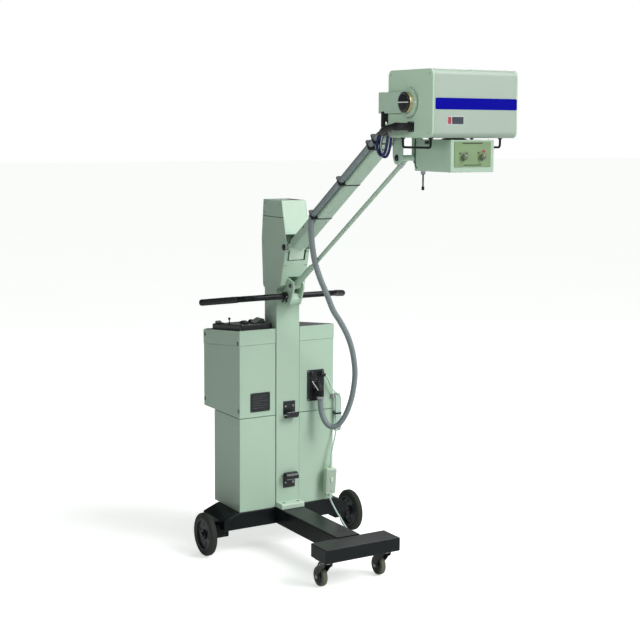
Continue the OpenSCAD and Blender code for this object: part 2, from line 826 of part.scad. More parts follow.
module head_shell() {
    half = head_x - 8;
    placed() color(CREAM) {
        difference() {
            head_block(-half, half, 0);
            head_block(-half - 1, half + 1, -3);
            bar_z(head_z0 - 5, head_z0 + 10, 0, coll_y, 30);
        }
        difference() {
            bar_z(head_z0 - 5, head_z0 + 6, 0, coll_y, 34);
            bar_z(head_z0 - 6, head_z0 + 7, 0, coll_y, 24);
        }
    }
}

module head_ends() {
    placed() color(GREEN) for (s = [0, 1]) mirror([s, 0, 0]) {
        head_block(head_x - 8, head_x, 0);
        bar_x(head_x - 1, head_x + 20, trunnion_y, trunnion_z, 10);
    }
}

// The two U-shaped handles under the head
module head_handles() {
    r = 4;
    low = head_z0 - 32;
    x = head_x - 6;
    placed() color(BLACK) for (s = [0, 1]) translate([0, s * 2 * trunnion_y, 0]) mirror([0, s, 0]) mirror([s, 0, 0]) {
        bar_y(-1247, -1087, -x, low, r);
        for (y = [-1247, -1087]) {
            bar_z(low, head_z0 + 0.5, -x, y, r);
            translate([-x, y, low]) sphere(r = r);
        }
    }
}

// What the head holds: the glass tube in its sleeve and the high-voltage transformer
module tube_insert() {
    placed() color(GREY) {
        bar_x(-110, 110, coll_y, head_z0 + 62, 42);
        block([-90, trunnion_y - 70, head_z0 + 100], [90, trunnion_y + 70, head_z0 + 190]);
        difference() {
            bar_z(head_z0 + 5, head_z0 + 22, 0, coll_y, 20);
            bar_z(head_z0 + 4, head_z0 + 23, 0, coll_y, 14);
        }
    }
}

// The cable elbow on the head's end
module head_connector() {
    bend = 22;
    z = trunnion_z - 81;
    y = -1143;
    x = -head_x - 12;
    placed() color(BLACK) {
        block([-head_x - 3, y - 16, z - 16], [-head_x, y + 16, z + 16]);
        bar_x(x, -head_x - 3, y, z, 14);
        translate([x, y + bend, z]) rotate([0, 0, 180])
            rotate_extrude(angle = 90) translate([bend, 0]) circle(r = 13);
    }
}

module collimator_body() {
    wall = 3;
    x = coll_w / 2;
    y0 = coll_y - coll_d / 2;
    y1 = coll_y + coll_d / 2;
    placed() color(GREEN) {
        difference() {
            block([-x, y0, coll_z0], [x, y1, coll_z1]);
            block([-x + wall, y0 + wall, coll_z0 + wall], [x - wall, y1 - wall, coll_z1 - wall]);
            block([-60, coll_y - 60, coll_z0 - 1], [60, coll_y + 60, coll_z0 + wall + 1]);
            bar_z(coll_z1 - 4, coll_z1 + 1, 0, coll_y, 17);
            for (k = [-38, 38]) bar_y(y0 - 1, y0 + 4, k, coll_z0 + 52, 4 + fit);
            bar_x(-x - 1, -x + 4, coll_y + 27, coll_z1 - 10, 3 + fit);
        }
        difference() {
            bar_z(coll_z1 - 1, head_z0 + 4, 0, coll_y, 23.9);
            bar_z(coll_z1 - 2, head_z0 + 5, 0, coll_y, 17);
        }
    }
    placed() color(BLACK) {
        bar_z(coll_z0 - 12, coll_z0 + 1, -78, coll_y + 70, 6);
        bar_z(coll_z0 - 56, coll_z0 - 11, -78, coll_y + 70, 2);
        bar_z(coll_z0 - 66, coll_z0 - 54, -78, coll_y + 70, 5);
    }
}

module collimator_panel() {
    y0 = coll_y - coll_d / 2;
    placed() color("#6f8a5c") difference() {
        block([-76, y0 - 2, coll_z0 + 18], [76, y0, coll_z1 - 5]);
        for (k = [-38, 38]) bar_y(y0 - 3, y0 + 1, k, coll_z0 + 52, 4 + fit);
    }
}

module shutter_knob(s) {
    y0 = coll_y - coll_d / 2 - 2;
    placed() color(BLACK) {
        bar_y(y0 - 14, y0 - 0.6, s * 38, coll_z0 + 52, 10);
        bar_y(y0 - 1, y0 + 12, s * 38, coll_z0 + 52, 4);
    }
}

module shutter_knob_left() { shutter_knob(-1); }
module shutter_knob_right() { shutter_knob(1); }

module lamp_button() {
    x = -coll_w / 2;
    placed() color(BLACK) {
        block([x - 6, coll_y + 16, coll_z1 - 15], [x - 3, coll_y + 38, coll_z1 - 5]);
        bar_x(x - 4, x + 10, coll_y + 27, coll_z1 - 10, 3);
    }
}

// --- controls ------------------------------------------------------------

// A round knob on the console with its spindle
module panel_knob(x, y, r, h) {
    placed() color(BLACK) {
        bar_z(panel_z(y) + 3, panel_z(y) + h, x, y, r);
        bar_z(panel_z(y) - 14, panel_z(y) + 4, x, y, 3);
    }
}

module kv_knob() { panel_knob(-175, 62, 18, 16); }
module ma_knob() { panel_knob(-108, 126, 13.5, 15); }

module exposure_toggle() {
    z = panel_z(170) - 4;
    placed() color(STEEL) {
        bar_z(z, z + 26, -190, 170, 2.5);
        translate([-190, 170, z + 28]) sphere(r = 5.5);
        bar_x(-195, -185, 170, z, 3.5);
    }
}

module power_rocker() {
    z = panel_z(273);
    placed() color(BLACK) along_x(-198, -172) polygon([
        [258, z + 6], [273, z + 3.5], [288, z + 11], [288, z - 1], [280, z - 7],
        [266, z - 7], [258, z - 2]
    ]);
}

// --- drawing -------------------------------------------------------------

chassis();
leg_beam();
front_beam();
foot_bracket();
fixings();
column();
lower_cabinet();
upper_cabinet();
cabinet_band();
control_panel();
rear_covers();
front_plates();
hose_gland();
cord_hooks();
housing_shell();
housing_front();
housing_cap();
pivot_pins();
link_bracket();
handlebar();
power_unit();
lead_upper();
lead_hank();
inline_box();
lead_lower();
lead_coil();
mains_plug();
hose_loop();
tyre_left();
tyre_right();
hub_left();
hub_right();
caster_fork_left();
caster_fork_right();
caster_wheel_left();
caster_wheel_right();
arm_tube();
arm_hose();
hose_ties();
balance_spring();
link_rod();
end_bracket();
arm_lock_knob();
head_hose();
yoke();
tilt_dials();
head_shell();
head_ends();
head_handles();
tube_insert();
head_connector();
collimator_body();
collimator_panel();
shutter_knob_left();
shutter_knob_right();
lamp_button();
kv_knob();
ma_knob();
exposure_toggle();
power_rocker();
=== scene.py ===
import json
from math import atan, cos, pi, radians, sin

import bmesh
import bpy
from mathutils import Matrix, Vector

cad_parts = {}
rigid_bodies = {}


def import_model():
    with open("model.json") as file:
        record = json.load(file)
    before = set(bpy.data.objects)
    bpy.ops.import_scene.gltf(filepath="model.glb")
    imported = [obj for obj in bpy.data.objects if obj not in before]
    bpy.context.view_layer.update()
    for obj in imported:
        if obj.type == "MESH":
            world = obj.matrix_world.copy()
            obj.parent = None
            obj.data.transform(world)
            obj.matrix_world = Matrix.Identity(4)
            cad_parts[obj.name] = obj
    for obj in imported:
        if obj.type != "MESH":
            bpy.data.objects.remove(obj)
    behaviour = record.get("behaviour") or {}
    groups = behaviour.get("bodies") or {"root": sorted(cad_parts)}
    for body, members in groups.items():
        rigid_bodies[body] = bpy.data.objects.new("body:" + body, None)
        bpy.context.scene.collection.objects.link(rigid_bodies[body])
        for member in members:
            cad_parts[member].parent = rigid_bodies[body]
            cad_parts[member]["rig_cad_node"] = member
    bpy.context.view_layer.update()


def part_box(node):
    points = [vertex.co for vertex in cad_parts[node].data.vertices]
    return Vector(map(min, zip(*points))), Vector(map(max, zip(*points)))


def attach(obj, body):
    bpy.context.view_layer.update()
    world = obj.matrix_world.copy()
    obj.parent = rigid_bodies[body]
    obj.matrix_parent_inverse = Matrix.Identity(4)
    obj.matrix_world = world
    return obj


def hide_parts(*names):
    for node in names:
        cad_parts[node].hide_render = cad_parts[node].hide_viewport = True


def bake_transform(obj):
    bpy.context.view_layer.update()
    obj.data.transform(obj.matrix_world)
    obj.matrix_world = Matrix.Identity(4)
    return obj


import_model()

# Millimetres here, with y = 0 on the column's front face; V() turns them into the row frame.
Y0 = 461.5
ARM = radians(34.26)
PIVOT_Y, PIVOT_Z = -66, 1292
ARM_LONG = 968
TIP_Y = PIVOT_Y - ARM_LONG * cos(ARM)
TIP_Z = PIVOT_Z + ARM_LONG * sin(ARM)
LINK_Z = 1132
LOW_Z = TIP_Z - 160
TRUN_Y, TRUN_Z = -1133, TIP_Z + 32
HEAD_X = 177.5
HEAD_Z0 = TRUN_Z - 118
COLL_Y = -1145
COLL_Z1 = HEAD_Z0 - 6
COLL_Z0 = COLL_Z1 - 108
LID_FALL = 34 / 336
CASTER_X, CASTER_Y, CASTER_TRAIL = 136, -543.5, 42
AXLE_Y, AXLE_Z = 66, 90
BAR_Y, BAR_Z = -35, 1085
CLIP_AT, YOKE_CLIP_AT = (-83, -872, 1768), (-184, -986, 1770)
CABLE_AT = (-78, COLL_Y + 70, COLL_Z0)
LEVER_X, LEVER_Y = -190, 170
PIVOT, TIP, LOW = (0, PIVOT_Y, PIVOT_Z), (0, TIP_Y, TIP_Z), (0, TIP_Y, LOW_Z)
KV_AT, MA_AT = (-175, 62), (-108, 126)
YOKE_X = 187.5
RIGHT, LEFT, BACK, FRONT, UP, DOWN = (1, 0, 0), (-1, 0, 0), (0, 1, 0), (0, -1, 0), (0, 0, 1), (0, 0, -1)


def V(x, y, z):
    return Vector((x, y + Y0, z)) * 0.001


# ---- camera

cam_data = bpy.data.cameras.new("camera")
cam = bpy.data.objects.new("camera", cam_data)
bpy.context.scene.collection.objects.link(cam)
cam.location = V(-2737, -4819, 1780)
azimuth, pitch, roll = radians(-31.34), radians(6.32), radians(-0.33)
aim = Vector((-sin(azimuth) * cos(pitch), cos(azimuth) * cos(pitch), -sin(pitch)))
cam.rotation_mode = "QUATERNION"
level = aim.to_track_quat("-Z", "Y").to_matrix().to_4x4()
cam.rotation_quaternion = (Matrix.Rotation(roll, 4, aim) @ level).to_quaternion()
cam_data.sensor_width = 36
cam_data.lens = 74.75
cam_data.shift_x = -0.0131
cam_data.shift_y = -0.0691
cam_data.clip_end = 200
bpy.context.scene.camera = cam

# ---- materials


def linear(rgb):
    return [((c / 255) / 12.92 if c / 255 <= 0.04045 else (((c / 255) + 0.055) / 1.055) ** 2.4) for c in rgb]


def material(name, rgb, rough, metallic=0.0, vary=0.05, bump=0.05, grain=420.0, coat=0.0, patch=5.0, rough_vary=0.08,
        stretch=(1, 1, 1), emit=0.0, spec=0.5):
    m = bpy.data.materials.new(name)
    m.use_nodes = True
    t = m.node_tree
    b = t.nodes["Principled BSDF"]
    place = t.nodes.new("ShaderNodeTexCoord")
    size = t.nodes.new("ShaderNodeMapping")
    size.inputs["Scale"].default_value = stretch
    t.links.new(place.outputs["Object"], size.inputs["Vector"])
    big = t.nodes.new("ShaderNodeTexNoise")
    big.inputs["Scale"].default_value = patch
    big.inputs["Detail"].default_value = 5
    fine = t.nodes.new("ShaderNodeTexNoise")
    fine.inputs["Scale"].default_value = grain
    fine.inputs["Detail"].default_value = 2
    t.links.new(place.outputs["Object"], big.inputs["Vector"])
    t.links.new(size.outputs["Vector"], fine.inputs["Vector"])
    tone = t.nodes.new("ShaderNodeMix")
    tone.data_type = "RGBA"
    base = linear(rgb)
    tone.inputs["A"].default_value = [max(0, c * (1 - vary)) for c in base] + [1]
    tone.inputs["B"].default_value = [min(1, c * (1 + vary)) for c in base] + [1]
    t.links.new(big.outputs["Fac"], tone.inputs["Factor"])
    t.links.new(tone.outputs["Result"], b.inputs["Base Color"])
    sheen = t.nodes.new("ShaderNodeMapRange")
    sheen.inputs["To Min"].default_value = max(0.02, rough - rough_vary)
    sheen.inputs["To Max"].default_value = min(1.0, rough + rough_vary)
    t.links.new(big.outputs["Fac"], sheen.inputs["Value"])
    t.links.new(sheen.outputs["Result"], b.inputs["Roughness"])
    relief = t.nodes.new("ShaderNodeBump")
    relief.inputs["Strength"].default_value = bump
    relief.inputs["Distance"].default_value = 0.001
    t.links.new(fine.outputs["Fac"], relief.inputs["Height"])
    t.links.new(relief.outputs["Normal"], b.inputs["Normal"])
    b.inputs["Metallic"].default_value = metallic
    b.inputs["Specular IOR Level"].default_value = spec
    b.inputs["Coat Weight"].default_value = coat
    b.inputs["Coat Roughness"].default_value = 0.12
    if emit:
        b.inputs["Emission Color"].default_value = base + [1]
        b.inputs["Emission Strength"].default_value = emit
    return m


GREEN = material("green_enamel", (176, 203, 182), 0.38, vary=0.05, bump=0.035, coat=0.15)
PALE = material("pale_enamel", (196, 218, 199), 0.36, vary=0.04, bump=0.035, coat=0.15)
END = material("end_enamel", (184, 212, 188), 0.38, vary=0.05, bump=0.035, coat=0.15)
CREAM = material("cream_enamel", (168, 186, 171), 0.40, vary=0.05, bump=0.03)
GLOSS = material("black_enamel", (22, 27, 29), 0.30, vary=0.15, bump=0.004, coat=0.0, patch=9, spec=0.2)
BLACK = material("black_satin", (26, 30, 32), 0.34, vary=0.18, bump=0.05, patch=9)
PLASTIC = material("black_plastic", (28, 32, 34), 0.46, vary=0.14, bump=0.12, grain=900, patch=12)
RUBBER = material("black_rubber", (24, 26, 28), 0.6, vary=0.15, bump=0.10, grain=700, patch=14)
HOSE = material("grey_hose", (128, 140, 142), 0.42, vary=0.09, bump=0.06, grain=600, patch=14)
LEAD = material("lead_sheath", (202, 224, 212), 0.42, vary=0.05, bump=0.04, patch=16)
TYRE = material("tyre_rubber", (44, 48, 42), 0.7, vary=0.2, bump=0.22, grain=500, patch=16)
TREAD = material("caster_tread", (98, 101, 84), 0.6, vary=0.12, bump=0.12, grain=500, patch=20)
HUB = material("hub_plastic", (24, 30, 38), 0.32, vary=0.2, bump=0.08, patch=18)
ZINC = material("zinc", (186, 190, 192), 0.30, metallic=1.0, vary=0.1, bump=0.06, patch=60)
STEEL = material("spring_steel", (128, 130, 134), 0.35, metallic=1.0, vary=0.1, bump=0.08, patch=60)
BRASS = material("brass", (226, 214, 168), 0.30, metallic=1.0, vary=0.12, bump=0.05, patch=80, stretch=(6, 1, 1))
SLATE = material("slate_print", (40, 50, 62), 0.45, vary=0.15, bump=0.02)
STRIPE = material("blue_stripe", (2, 2, 156), 0.6, vary=0.06, bump=0.02, spec=0.06)
RED = material("red_print", (170, 45, 62), 0.45, vary=0.12, bump=0.02)
GREY = material("grey_print", (92, 100, 100), 0.45, vary=0.1, bump=0.02)
WHITE = material("white_print", (226, 232, 228), 0.45, vary=0.03, bump=0.02)
FILM = material("panel_film", (128, 156, 112), 0.42, vary=0.12, bump=0.03, patch=18)
KNOB = material("knob_grey", (104, 116, 92), 0.45, vary=0.12, bump=0.06)
FILM_DARK = material("panel_rule", (52, 66, 44), 0.45, vary=0.12, bump=0.02)
BLUE = material("signal_cable", (24, 34, 92), 0.36, vary=0.15, bump=0.04, patch=20)
PLUG = material("pale_plastic", (190, 214, 188), 0.38, vary=0.06, bump=0.05, patch=16)
# painted shade under the rear louvres and in the side screw dimples, and also dark seam and print lines
DARK_SHADE_AND_LINES = material("painted_shade_and_dark_lines", (14, 16, 17), 0.8, vary=0.2, bump=0.05)
METER = material("meter_window", (150, 168, 150), 0.12, vary=0.04, bump=0.0, coat=0.8)
LENS = material("beam_window", (60, 66, 68), 0.08, vary=0.05, bump=0.0, coat=1.0)
WIND = material("windings", (120, 122, 118), 0.5, metallic=0.6, vary=0.2, bump=0.2, grain=300)
LAMP = material("lamp_green", (70, 170, 90), 0.25, vary=0.1, bump=0.0, coat=0.6)
AMBER = material("lamp_amber", (214, 140, 40), 0.25, vary=0.1, bump=0.0, coat=0.6)

# ---- mesh helpers


def linked(name, data):
    """A new object that is in the scene."""
    o = bpy.data.objects.new(name, data)
    bpy.context.scene.collection.objects.link(o)
    return o


def obj_from(name, bm, mat, sharp=38):
    bmesh.ops.recalc_face_normals(bm, faces=bm.faces)
    me = bpy.data.meshes.new(name)
    bm.to_mesh(me)
    bm.free()
    me.materials.append(mat)
    me.shade_smooth()
    me.set_sharp_from_angle(angle=radians(sharp))
    return linked(name, me)


def bevel_mesh(bm, width, segs=3, least=28):
    edges = [e for e in bm.edges if len(e.link_faces) == 2 and e.calc_face_angle(0) > radians(least)]
    if edges and width > 0:
        bmesh.ops.bevel(bm, geom=edges, offset=width * 0.001, segments=segs, profile=0.6, affect="EDGES",
            clamp_overlap=True)


def prism(pts, plane, a0, a1, mat, bevel=1.0, segs=3, least=28, name="prism"):
    """A solid from an outline: plane names the outline's two axes; it runs from a0 to a1, numbers or functions."""

    def at(p, a):
        a = a(*p) if callable(a) else a
        if plane == "yz":
            return V(a, p[0], p[1])
        if plane == "xz":
            return V(p[0], a, p[1])
        return V(p[0], p[1], a)

    bm = bmesh.new()
    low = [bm.verts.new(at(p, a0)) for p in pts]
    high = [bm.verts.new(at(p, a1)) for p in pts]
    bm.faces.new(low)
    bm.faces.new(list(reversed(high)))
    for i in range(len(pts)):
        j = (i + 1) % len(pts)
        bm.faces.new([low[i], high[i], high[j], low[j]])
    bmesh.ops.recalc_face_normals(bm, faces=bm.faces)
    bevel_mesh(bm, bevel, segs, least)
    return obj_from(name, bm, mat)


def block(lo, hi, mat, bevel=1.0, segs=3, name="block"):
    return prism([(lo[0], lo[1]), (hi[0], lo[1]), (hi[0], hi[1]), (lo[0], hi[1])], "xy", lo[2], hi[2], mat, bevel,
        segs, name=name)


def rounded(cx, cy, w, h, r, n=6):
    """A rectangle's outline with round corners."""
    pts = []
    for k, (sx, sy) in enumerate(((1, 1), (-1, 1), (-1, -1), (1, -1))):
        for i in range(n + 1):
            a = pi / 2 * (k + i / n)
            pts.append((cx + sx * (w / 2 - r) + r * cos(a), cy + sy * (h / 2 - r) + r * sin(a)))
    return pts


def disc(cx, cy, r, n=40, a0=0.0, a1=360.0):
    whole = abs(a1 - a0) >= 360
    m = n if whole else n + 1
    return [(cx + r * cos(radians(a0 + (a1 - a0) * i / n)), cy + r * sin(radians(a0 + (a1 - a0) * i / n)))
        for i in range(m)]


def lathe(profile, centre, axis, mat, segs=48, name="lathe", sharp=32):
    """Turns (radius, distance along the axis) pairs about an axis through centre."""
    axis = Vector(axis).normalized()
    u = axis.cross(Vector(UP) if abs(axis.z) < 0.9 else Vector(RIGHT)).normalized()
    w = axis.cross(u)
    c = V(*centre)
    bm = bmesh.new()
    rings = []
    for r, a in profile:
        if r < 1e-6:
            rings.append([bm.verts.new(c + axis * a * 0.001)])
        else:
            rings.append([bm.verts.new(c + axis * a * 0.001
                + (u * cos(2 * pi * k / segs) + w * sin(2 * pi * k / segs)) * r * 0.001) for k in range(segs)])
    closed = rings[0] and len(rings[0]) > 1 and len(rings[-1]) > 1
    pairs = list(zip(rings, rings[1:]))
    if closed:
        pairs.append((rings[-1], rings[0]))
    for p, q in pairs:
        for k in range(segs):
            j = (k + 1) % segs
            if len(p) == 1 and len(q) == 1:
                continue
            if len(p) == 1:
                bm.faces.new([p[0], q[k], q[j]])
            elif len(q) == 1:
                bm.faces.new([p[k], q[0], p[j]])
            else:
                bm.faces.new([p[k], q[k], q[j], p[j]])
    return obj_from(name, bm, mat, sharp)


def smooth_path(pts, step=6.0):
    """A Catmull-Rom line through the points, resampled every step millimetres."""
    p = [Vector(q) for q in pts]
    p = [p[0] * 2 - p[1]] + p + [p[-1] * 2 - p[-2]]
    out = []
    for i in range(1, len(p) - 2):
        n = max(2, int((p[i + 1] - p[i]).length / step))
        for k in range(n):
            t = k / n
            out.append(0.5 * ((2 * p[i]) + (p[i + 1] - p[i - 1]) * t
                + (2 * p[i - 1] - 5 * p[i] + 4 * p[i + 1] - p[i + 2]) * t * t
                + (3 * p[i] - p[i - 1] - 3 * p[i + 1] + p[i + 2]) * t ** 3))
    out.append(p[-2])
    return out


def path_length(path):
    return sum((b - a).length for a, b in zip(path, path[1:]))


def tube(path, r, mat, segs=16, name="tube", cap=True):
    """A round tube along a path. r is one radius or a function of the share of the way along."""
    total = path_length(path)
    bm = bmesh.new()
    t0 = (path[1] - path[0]).normalized()
    u = t0.cross(Vector(UP) if abs(t0.z) < 0.9 else Vector(RIGHT)).normalized()
    rings = []
    gone = 0.0
    for i, c in enumerate(path):
        t = (path[min(i + 1, len(path) - 1)] - path[max(i - 1, 0)]).normalized()
        u = (u - t * u.dot(t)).normalized()
        w = t.cross(u)
        if i:
            gone += (path[i] - path[i - 1]).length
        rad = r(gone / total) if callable(r) else r
        rings.append([bm.verts.new(V(*(c + (u * cos(2 * pi * k / segs) + w * sin(2 * pi * k / segs)) * rad)))
            for k in range(segs)])
    for p, q in zip(rings, rings[1:]):
        for k in range(segs):
            j = (k + 1) % segs
            bm.faces.new([p[k], q[k], q[j], p[j]])
    if cap:
        bm.faces.new(rings[0])
        bm.faces.new(list(reversed(rings[-1])))
    return obj_from(name, bm, mat, 50)


def span(s, a, b):
    """The ends of a stretch from a to b on side s, the lower one first."""
    return min(s * a, s * b), max(s * a, s * b)


def slab(s, a, b, lo, hi, *look):
    """A block from a to b on side s; lo and hi give y and z."""
    x0, x1 = span(s, a, b)
    return block((x0, *lo), (x1, *hi), *look)


def pin(r, a1, a0, *place):
    """A plain round bar of radius r, from a1 down to a0 along its axis."""
    return lathe([(0, a1), (r, a1), (r, a0), (0, a0)], *place)


def washer(r0, r1, a1, a0, *place):
    """A plain ring between two radii."""
    return lathe([(r0, a1), (r1, a1), (r1, a0), (r0, a0)], *place)


def both_ways(half):
    """A lathe profile that is the same on both sides of its middle."""
    return half + [(r, -a) for r, a in reversed(half)]


def tick(cx, cy, r0, r1, half, degrees):
    """The outline of a scale mark that points at (cx, cy)."""
    ca, sa = cos(radians(degrees)), sin(radians(degrees))
    return [(cx + q * ca - w * sa, cy + q * sa + w * ca)
        for q, w in ((r0, half), (r1, half), (r1, -half), (r0, -half))]


def on_arm(x, s, n, z0=PIVOT_Z):
    """A point given across, along and square to the arm."""
    return (x, PIVOT_Y - s * cos(ARM) + n * sin(ARM), z0 + s * sin(ARM) + n * cos(ARM))


def tilt_to_arm(o, z0=PIVOT_Z):
    """Turns a piece that was built along -Y from the pivot onto the arm's line."""
    turn = Matrix.Rotation(-ARM, 4, "X")
    at = V(0, PIVOT_Y, z0)
    o.data.transform(Matrix.Translation(at) @ turn @ Matrix.Translation(-at))
    return o


def screw(centre, axis, r=4.0, h=2.4, mat=None):
    return lathe([(0, h - 1.3), (0.42 * r, h - 1.3), (0.5 * r, h), (0.72 * r, h), (0.95 * r, h * 0.62), (r, 0.2),
        (r, -0.6), (0, -0.6)], centre, axis, mat or ZINC, 20, "screw")


def hex_bolt(centre, axis, r=8.0, h=6.0, mat=None):
    o = lathe([(0, h), (0.78 * r, h), (r, h - 0.12 * r), (r, 0), (0, 0)], centre, axis, mat or ZINC, 6, "bolt", 20)
    w = lathe([(0.6 * r, 1.4), (1.28 * r, 1.4), (1.34 * r, 1.0), (1.34 * r, -0.3), (0.6 * r, -0.3)], centre, axis,
        mat or ZINC, 32, "washer")
    return join([o, w], "bolt")


def join(parts, name):
    """One object from several, keeping their materials."""
    bm = bmesh.new()
    mats = []
    for o in parts:
        index = []
        for m in o.data.materials:
            if m not in mats:
                mats.append(m)
            index.append(mats.index(m))
        start = len(bm.faces)
        bm.from_mesh(o.data)
        bm.faces.ensure_lookup_table()
        for f in bm.faces[start:]:
            f.material_index = index[min(f.material_index, len(index) - 1)]
    me = bpy.data.meshes.new(name)
    bm.to_mesh(me)
    bm.free()
    for m in mats:
        me.materials.append(m)
    for o in parts:
        bpy.data.objects.remove(o)
    return linked(name, me)


def cut(o, *tools):
    """Takes the tools' shapes out of a piece."""
    for tool in tools:
        mod = o.modifiers.new("cut", "BOOLEAN")
        mod.operation = "DIFFERENCE"
        mod.solver = "EXACT"
        mod.object = tool
    bpy.context.view_layer.update()
    deps = bpy.context.evaluated_depsgraph_get()
    me = bpy.data.meshes.new_from_object(o.evaluated_get(deps))
    o.modifiers.clear()
    o.data = me
    me.shade_smooth()
    me.set_sharp_from_angle(angle=radians(38))
    for tool in tools:
        bpy.data.objects.remove(tool)
    return o


def piece(name, parts, body, nodes=(), weighted=True):
    """Joins the parts of one piece, hangs it on the body it rides on and hides the CAD nodes it stands for."""
    o = join(parts, name) if len(parts) > 1 else parts[0]
    o.name = name
    if weighted:
        o.modifiers.new("normals", "WEIGHTED_NORMAL").keep_sharp = True
    if body:
        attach(o, body)
    if nodes:
        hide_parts(*([nodes] if isinstance(nodes, str) else nodes))
    return o

# ---- cords

HOSE_R = 11.7
loop_path = smooth_path([(142, -30, 644), (142, -30, 622), (142, -33, 598), (144, -42, 568), (152, -60, 534),
    (168, -80, 517), (190, -98, 526), (209, -112, 556), (224, -126, 600), (235, -140, 660), (237, -155, 738),
    (226, -167, 800), (205, -179, 866), (172, -193, 930), (128, -208, 990), (88, -219, 1040), (48, -232, 1112),
    (10, -244, 1178), (-22, -255, 1250), (-38, -262, 1315), (-46, -266, 1370), (-48, -269, 1405), (-48, -275, 1435)],
    8)
hose_loop = tube(loop_path, HOSE_R, HOSE, 20, "hose_loop_mesh")
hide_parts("hose_loop")
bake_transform(hose_loop)

HEAD_ROUTE = [on_arm(-48, 792, 0), on_arm(-48, 815, 0), (-51, -762, 1760), (-58, -790, 1765), (-66, -816, 1767),
    (-75, -843, 1768), CLIP_AT, (-94, -905, 1768), (-108, -930, 1767), (-130, -952, 1767), (-158, -968, 1768),
    YOKE_CLIP_AT, (-200, -1008, 1773), (-210, -1036, 1778), (-213, -1068, 1784), (-212, -1098, 1788),
    (-211.5, -1121, 1788)]
whole = smooth_path(HEAD_ROUTE, 6)


def nearest(path, p):
    return min(range(len(path)), key=lambda i: (path[i] - Vector(p)).length)


first, second = nearest(whole, CLIP_AT), nearest(whole, YOKE_CLIP_AT)
head_parts = (("head_hose_1", whole[:first + 1], "arm", "bracket"),
    ("head_hose_2", whole[first:second + 1], "bracket", "yoke"), ("head_hose_3", whole[second:], "yoke", "head"))
for name, path, a, b in head_parts:
    part = tube(path, 11.5, RUBBER if name != "head_hose_1" else HOSE, 20, name)
    if name == "head_hose_1":
        # the grey hose goes into a black shrunk sleeve
        sleeve = tube(path[9:], 12.1, RUBBER, 20, name + "_sleeve")
        part = join([part, sleeve], name)
    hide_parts("head_hose")
    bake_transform(part)

# Mains lead: from the socket plate over its hank to the switch box, and on to the coil and the plug
LEAD_R = 3.5
lead = [(178, -8, 729), (186, -12, 722), (194, -14, 706), (203, -14, 684), (214, -14, 664), (228, -14, 650),
    (243, -15, 640), (252, -15, 626)]
top, low_end, mid, half = 622.5, 496.0, 4.0, 18.0
x = 255.0
for turn in range(3):
    for z in (610, 570, 540, 510):
        lead.append((x, mid - half, z))
    for a in (0, 30, 60, 90, 120, 150, 180):
        lead.append((x - 2.0 * a / 180, mid - half * cos(radians(a)), low_end - half * sin(radians(a))))
    for z in (510, 540, 570, 610):
        lead.append((x - 2.0 - 0.8 * (z - 510) / 100, mid + half, z))
    for a in (0, 30, 60, 90, 120, 150, 180):
        lead.append((x - 3.0 - 4.3 * a / 180, mid + half * cos(radians(a)), top + half * sin(radians(a))))
    x -= 7.3
lead += [(x, mid - half, 600), (x, mid - half, 560), (x, mid - half - 0.5, 520), (x - 1, mid - half - 1, 490),
    (x - 6, -17, 462), (218, -19, 432), (209, -21, 400), (203, -23, 368), (200.5, -24, 340), (199.8, -24, 321)]
lead_a = smooth_path(lead, 4)
COIL = (236.0, -122.0)
lead = [(192, -24, 211), (196, -24, 192), (206, -23, 170), (220, -21, 145), (236, -20, 118), (254, -20, 90),
    (270, -22, 62), (285, -29, 37), (297, -42, 16), (302, -58, 6), (300, -76, 3.6), (293, -94, 3.6), (285, -108, 3.6)]
steps = 68
for k in range(steps + 1):
    turns = 4.25 * k / steps
    phi = -2 * pi * turns
    if turns <= 2:
        rad = 44 - 7.4 * turns
    elif turns <= 4:
        rad = 29.2 + 7.4 * (turns - 2)
    else:
        rad = 44 - 7.4 * (turns - 4)
    lift = 3.6 + 7.3 * (min(1, max(0, (turns - 1.9) / 0.3)) + min(1, max(0, (turns - 3.9) / 0.3)))
    lead.append((COIL[0] + rad * cos(phi), COIL[1] + rad * sin(phi), lift))
lead += [(220, -163.5, 17), (206, -158, 15), (197, -151, 13.4), (191, -148, 13)]
lead_b = smooth_path(lead, 4)


def cord_curve(path, r, mat, name):
    cu = bpy.data.curves.new(name, "CURVE")
    cu.dimensions = "3D"
    cu.bevel_depth = r * 0.001
    cu.bevel_resolution = 4
    cu.use_fill_caps = True
    sp = cu.splines.new("POLY")
    sp.points.add(len(path) - 1)
    for q, p in zip(sp.points, path):
        q.co = (*V(*p), 1)
    sp.use_smooth = True
    cu.materials.append(mat)
    return linked(name, cu)


cord_a = cord_curve(lead_a, LEAD_R, LEAD, "mains_lead_upper")
cord_b = cord_curve(lead_b, LEAD_R, LEAD, "mains_lead_lower")

# the switch box on the lead, with a clear cover, a rocker and its two tapered boots
lean = Matrix.Rotation(radians(4), 4, "Y")
box_at = V(196, -24, 266)
inline = [prism(rounded(196, 266, 50, 112, 7), "xz", -37, -11, PLUG, 2.2, 4),
    prism(rounded(196, 266, 40, 98, 4), "xz", -38.6, -36.5, CREAM, 1.0, 3),
    block((189, -41.4, 262), (203, -38.2, 284), PLUG, 1.2, 3), screw((196, -38.4, 222), FRONT, 2.6, 1.6),
    screw((196, -38.4, 310), FRONT, 2.6, 1.6)] + [lathe([(0, 12), (4.6, 12), (5.4, 9), (5.4, 6), (6.2, 5), (6.2, 3),
    (7.6, 0), (7.6, -3), (0, -3)], (196, -24, z), way, PLUG, 24) for z, way in ((321, UP), (211, DOWN))]
inline = piece("switch_box", inline, None, "inline_box")
inline.data.transform(Matrix.Translation(box_at) @ lean @ Matrix.Translation(-box_at))
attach(inline, "cart")

